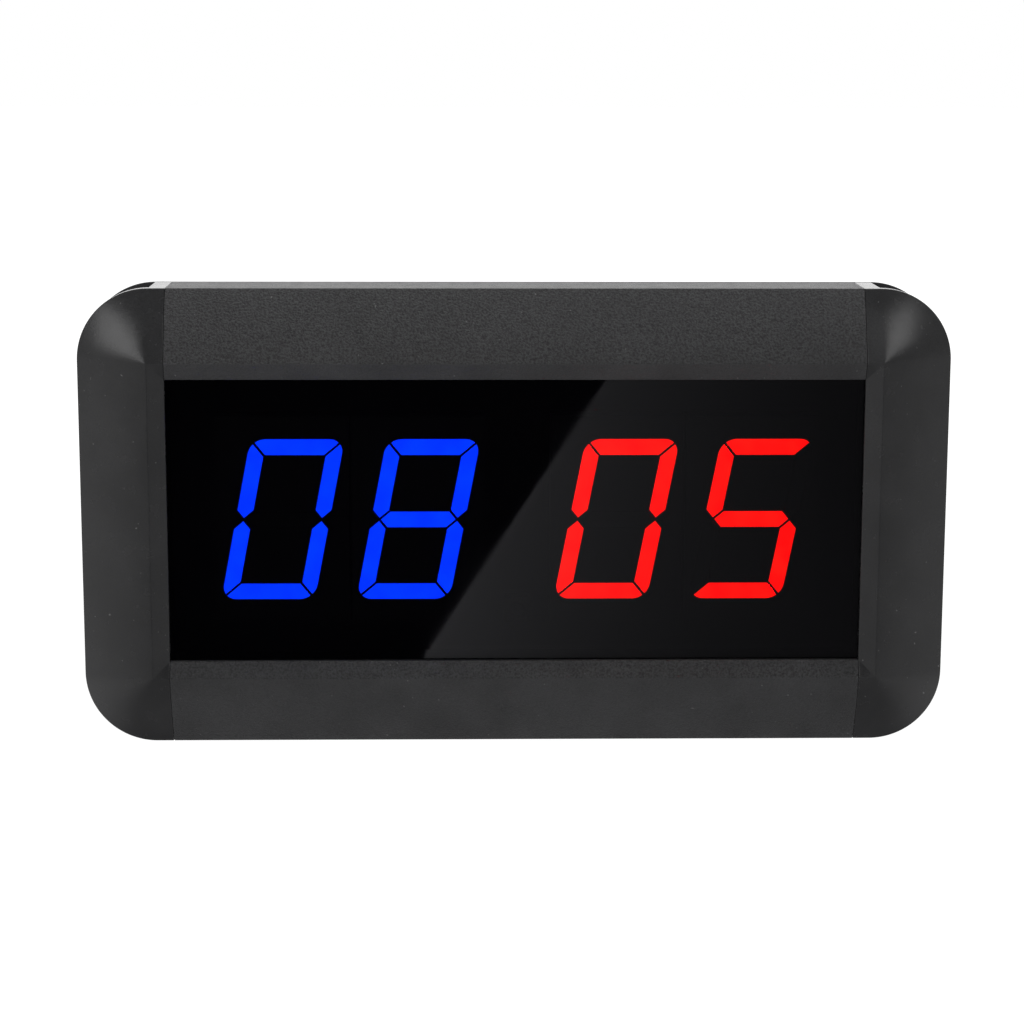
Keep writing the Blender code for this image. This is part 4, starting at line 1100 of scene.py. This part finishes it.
CARRIED = {
    BLACK_PLASTIC: (
        *numbered("digit_housing", 4), "lens_spacer_frame", "infrared_receiver", "pin_header",
        "microcontroller", "coin_cell_holder", "buzzer", *numbered("tact_switch", 3),
    ),
    METAL: (
        *numbered("board_spacer", 4), *numbered("board_screw", 4), *numbered("capacitor", 2),
        "coin_cell", *numbered("button_board_screw", 2),
    ),
    RUBBER: ("power_wire_black", "button_ribbon"),
    CIRCUIT_BOARD: ("control_board", "button_board"),
    DISPLAY_BOARD: ("display_board",),
    RED_INSULATION: ("power_wire_red",),
}


def dress_carried_nodes():
    for material, names in CARRIED.items():
        for name in names:
            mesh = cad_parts[name].data
            mesh.materials.clear()
            mesh.materials.append(material)


# ---------------------------------------------------------------- camera, lights and floor


def make_camera():
    """The camera stands in front of the timer, above its middle and a little to the left."""
    camera = bpy.data.objects.new("camera", bpy.data.cameras.new("camera"))
    bpy.context.scene.collection.objects.link(camera)
    back = Vector((
        math.sin(CAMERA_AZIMUTH) * math.cos(CAMERA_ELEVATION),
        -math.cos(CAMERA_AZIMUTH) * math.cos(CAMERA_ELEVATION),
        math.sin(CAMERA_ELEVATION),
    ))
    camera.location = CAMERA_TARGET + CAMERA_DISTANCE * back
    aim = (-back).to_track_quat("-Z", "Y").to_matrix()
    camera.rotation_euler = (aim @ Matrix.Rotation(CAMERA_ROLL, 3, "Z")).to_euler()
    camera.data.lens = CAMERA_LENS
    camera.data.sensor_width = 36
    camera.data.clip_start = 0.01
    bpy.context.scene.camera = camera


def make_floor():
    """A broad white floor, very slightly greyer under the timer."""
    bm = bmesh.new()
    bmesh.ops.create_grid(bm, x_segments=8, y_segments=8, size=6)
    floor = add_mesh("studio_floor", bm)
    made, tree = new_material("pale_floor")
    place = object_coordinates(tree)
    cloud = noise(tree, place, 0.4, detail=3.0)
    tone = mix_colours(tree, cloud, (0.09, 0.09, 0.09), (0.11, 0.11, 0.11))
    distance = add_node(tree, "ShaderNodeVectorMath", {0: place}, operation="LENGTH").outputs["Value"]
    strength = remap(tree, distance, 0.15, 0.5, FLOOR_GLOW_NEAR, FLOOR_GLOW_FAR)
    matt = {"Base Color": tone, "Roughness": 0.8, "Specular IOR Level": 0.0}
    add_surface(tree, {**matt, "Emission Color": (1, 1, 1, 1), "Emission Strength": strength})
    floor.data.materials.append(made)
    floor.visible_glossy = False


def make_world():
    """White to the camera; for light and reflections, a dark room that glows at the sides and rear."""
    world = bpy.data.worlds.new("studio")
    world.use_nodes = True
    tree = world.node_tree
    tree.nodes.clear()
    direction = tree.nodes.new("ShaderNodeTexCoord").outputs["Generated"]
    x, y, z = add_node(tree, "ShaderNodeSeparateXYZ", {"Vector": direction}).outputs
    left = smooth_remap(tree, x, -0.35, -0.95)
    right = smooth_remap(tree, x, 0.35, 0.95)
    sides = weighted_sum(tree, (left, LEFT_GLOW), (right, RIGHT_GLOW))
    sides = multiplied(tree, sides, remap(tree, z, 0.0, -0.35, SIDE_GLOW_HIGH, SIDE_GLOW_LOW))
    glow = weighted_sum(tree, (sides, 1.0), (smooth_remap(tree, y, 0.2, 0.8), REAR_GLOW))
    is_camera = tree.nodes.new("ShaderNodeLightPath").outputs["Is Camera Ray"]
    studio = add_node(tree, "ShaderNodeBackground", {"Color": (1, 1, 1, 1), "Strength": glow})
    white = add_node(tree, "ShaderNodeBackground", {"Color": (1, 1, 1, 1), "Strength": 1.0})
    shaders = {0: is_camera, 1: studio.outputs[0], 2: white.outputs[0]}
    mixed = add_node(tree, "ShaderNodeMixShader", shaders)
    add_node(tree, "ShaderNodeOutputWorld", {"Surface": mixed.outputs[0]})
    bpy.context.scene.world = world


def soft_light(name, place, size, power):
    """A square area light aimed at the middle of the timer."""
    data = bpy.data.lights.new(name, "AREA")
    data.size = size
    data.energy = power
    light = bpy.data.objects.new(name, data)
    light.location = place
    aim = Vector((0, 0, MIDDLE_Z)) - Vector(place)
    light.rotation_euler = aim.to_track_quat("-Z", "Y").to_euler()
    bpy.context.scene.collection.objects.link(light)


def make_lights():
    for name, (place, size, power) in SOFTBOXES.items():
        soft_light(name, place, size, power)


def mirrored(point):
    """The point seen in the window's front face."""
    return Vector((point[0], 2 * WINDOW_FRONT - point[1], point[2]))


def card_corners():
    """The card's corners: both ends of its glaring edge and, across from each, its far corner."""
    eye = mirrored(bpy.context.scene.camera.location)

    def in_front(x, z):
        """Where the card must be for its mirror image to lie at (x, z) on the window."""
        on_window = Vector((x, WINDOW_FRONT, z))
        return eye + (on_window - eye) * CARD_REACH

    low, high = (Vector(point) for point in GLARE_EDGE)
    along = (high - low).normalized()
    across = Vector((along.y, -along.x)) * CARD_WIDTH
    low -= along * CARD_OVERRUN
    high += along * CARD_OVERRUN
    return [in_front(p.x, p.y) for p in (low, high, high + across, low + across)]


def card_glow():
    """Brightest at the lower end of the glaring edge, with a thin bright rim along that edge."""
    made, tree = new_material("glare_card")
    uv_map = tree.nodes.new("ShaderNodeUVMap")
    uv_map.uv_map = CARD_UV
    along, across, _ = add_node(tree, "ShaderNodeSeparateXYZ", {"Vector": uv_map.outputs["UV"]}).outputs
    nearness = remap(tree, across, 0.0, 1.0, 1.0, 0.0)
    cubed = add_node(tree, "ShaderNodeMath", {0: nearness, 1: 3.0}, operation="POWER").outputs[0]
    fade = remap(tree, cubed, 0.0, 1.0, GLARE_FAR, 1.0)
    rim = remap(tree, across, 0.0, 0.008, 1.0, 0.0)
    strength = weighted_sum(tree, (fade, GLARE), (rim, GLARE_RIM))
    strength = multiplied(tree, strength, remap(tree, along, 0.9, 0.1, 0.35, 1.0))
    add_surface(tree, {"Color": (0.95, 0.95, 1.0, 1), "Strength": strength}, "ShaderNodeEmission")
    return made


def make_glare_card():
    """A pale card in front of the timer, seen only as the slanting glare in the window."""
    bm = bmesh.new()
    face = bm.faces.new([bm.verts.new(corner) for corner in card_corners()])
    uv = bm.loops.layers.uv.new(CARD_UV)
    for loop, value in zip(face.loops, ((0, 0), (1, 0), (1, 1), (0, 1))):
        loop[uv].uv = value
    card = add_mesh("glare_card", bm)
    card.data.materials.append(card_glow())
    card.visible_camera = False
    card.visible_diffuse = False
    card.visible_transmission = False
    card.visible_shadow = False


bpy.context.scene.view_settings.view_transform = "Standard"
make_camera()
make_world()
make_floor()
make_lights()
make_glare_card()
make_housing()
make_rear()
make_controls()
make_window()
make_display()
dress_carried_nodes()
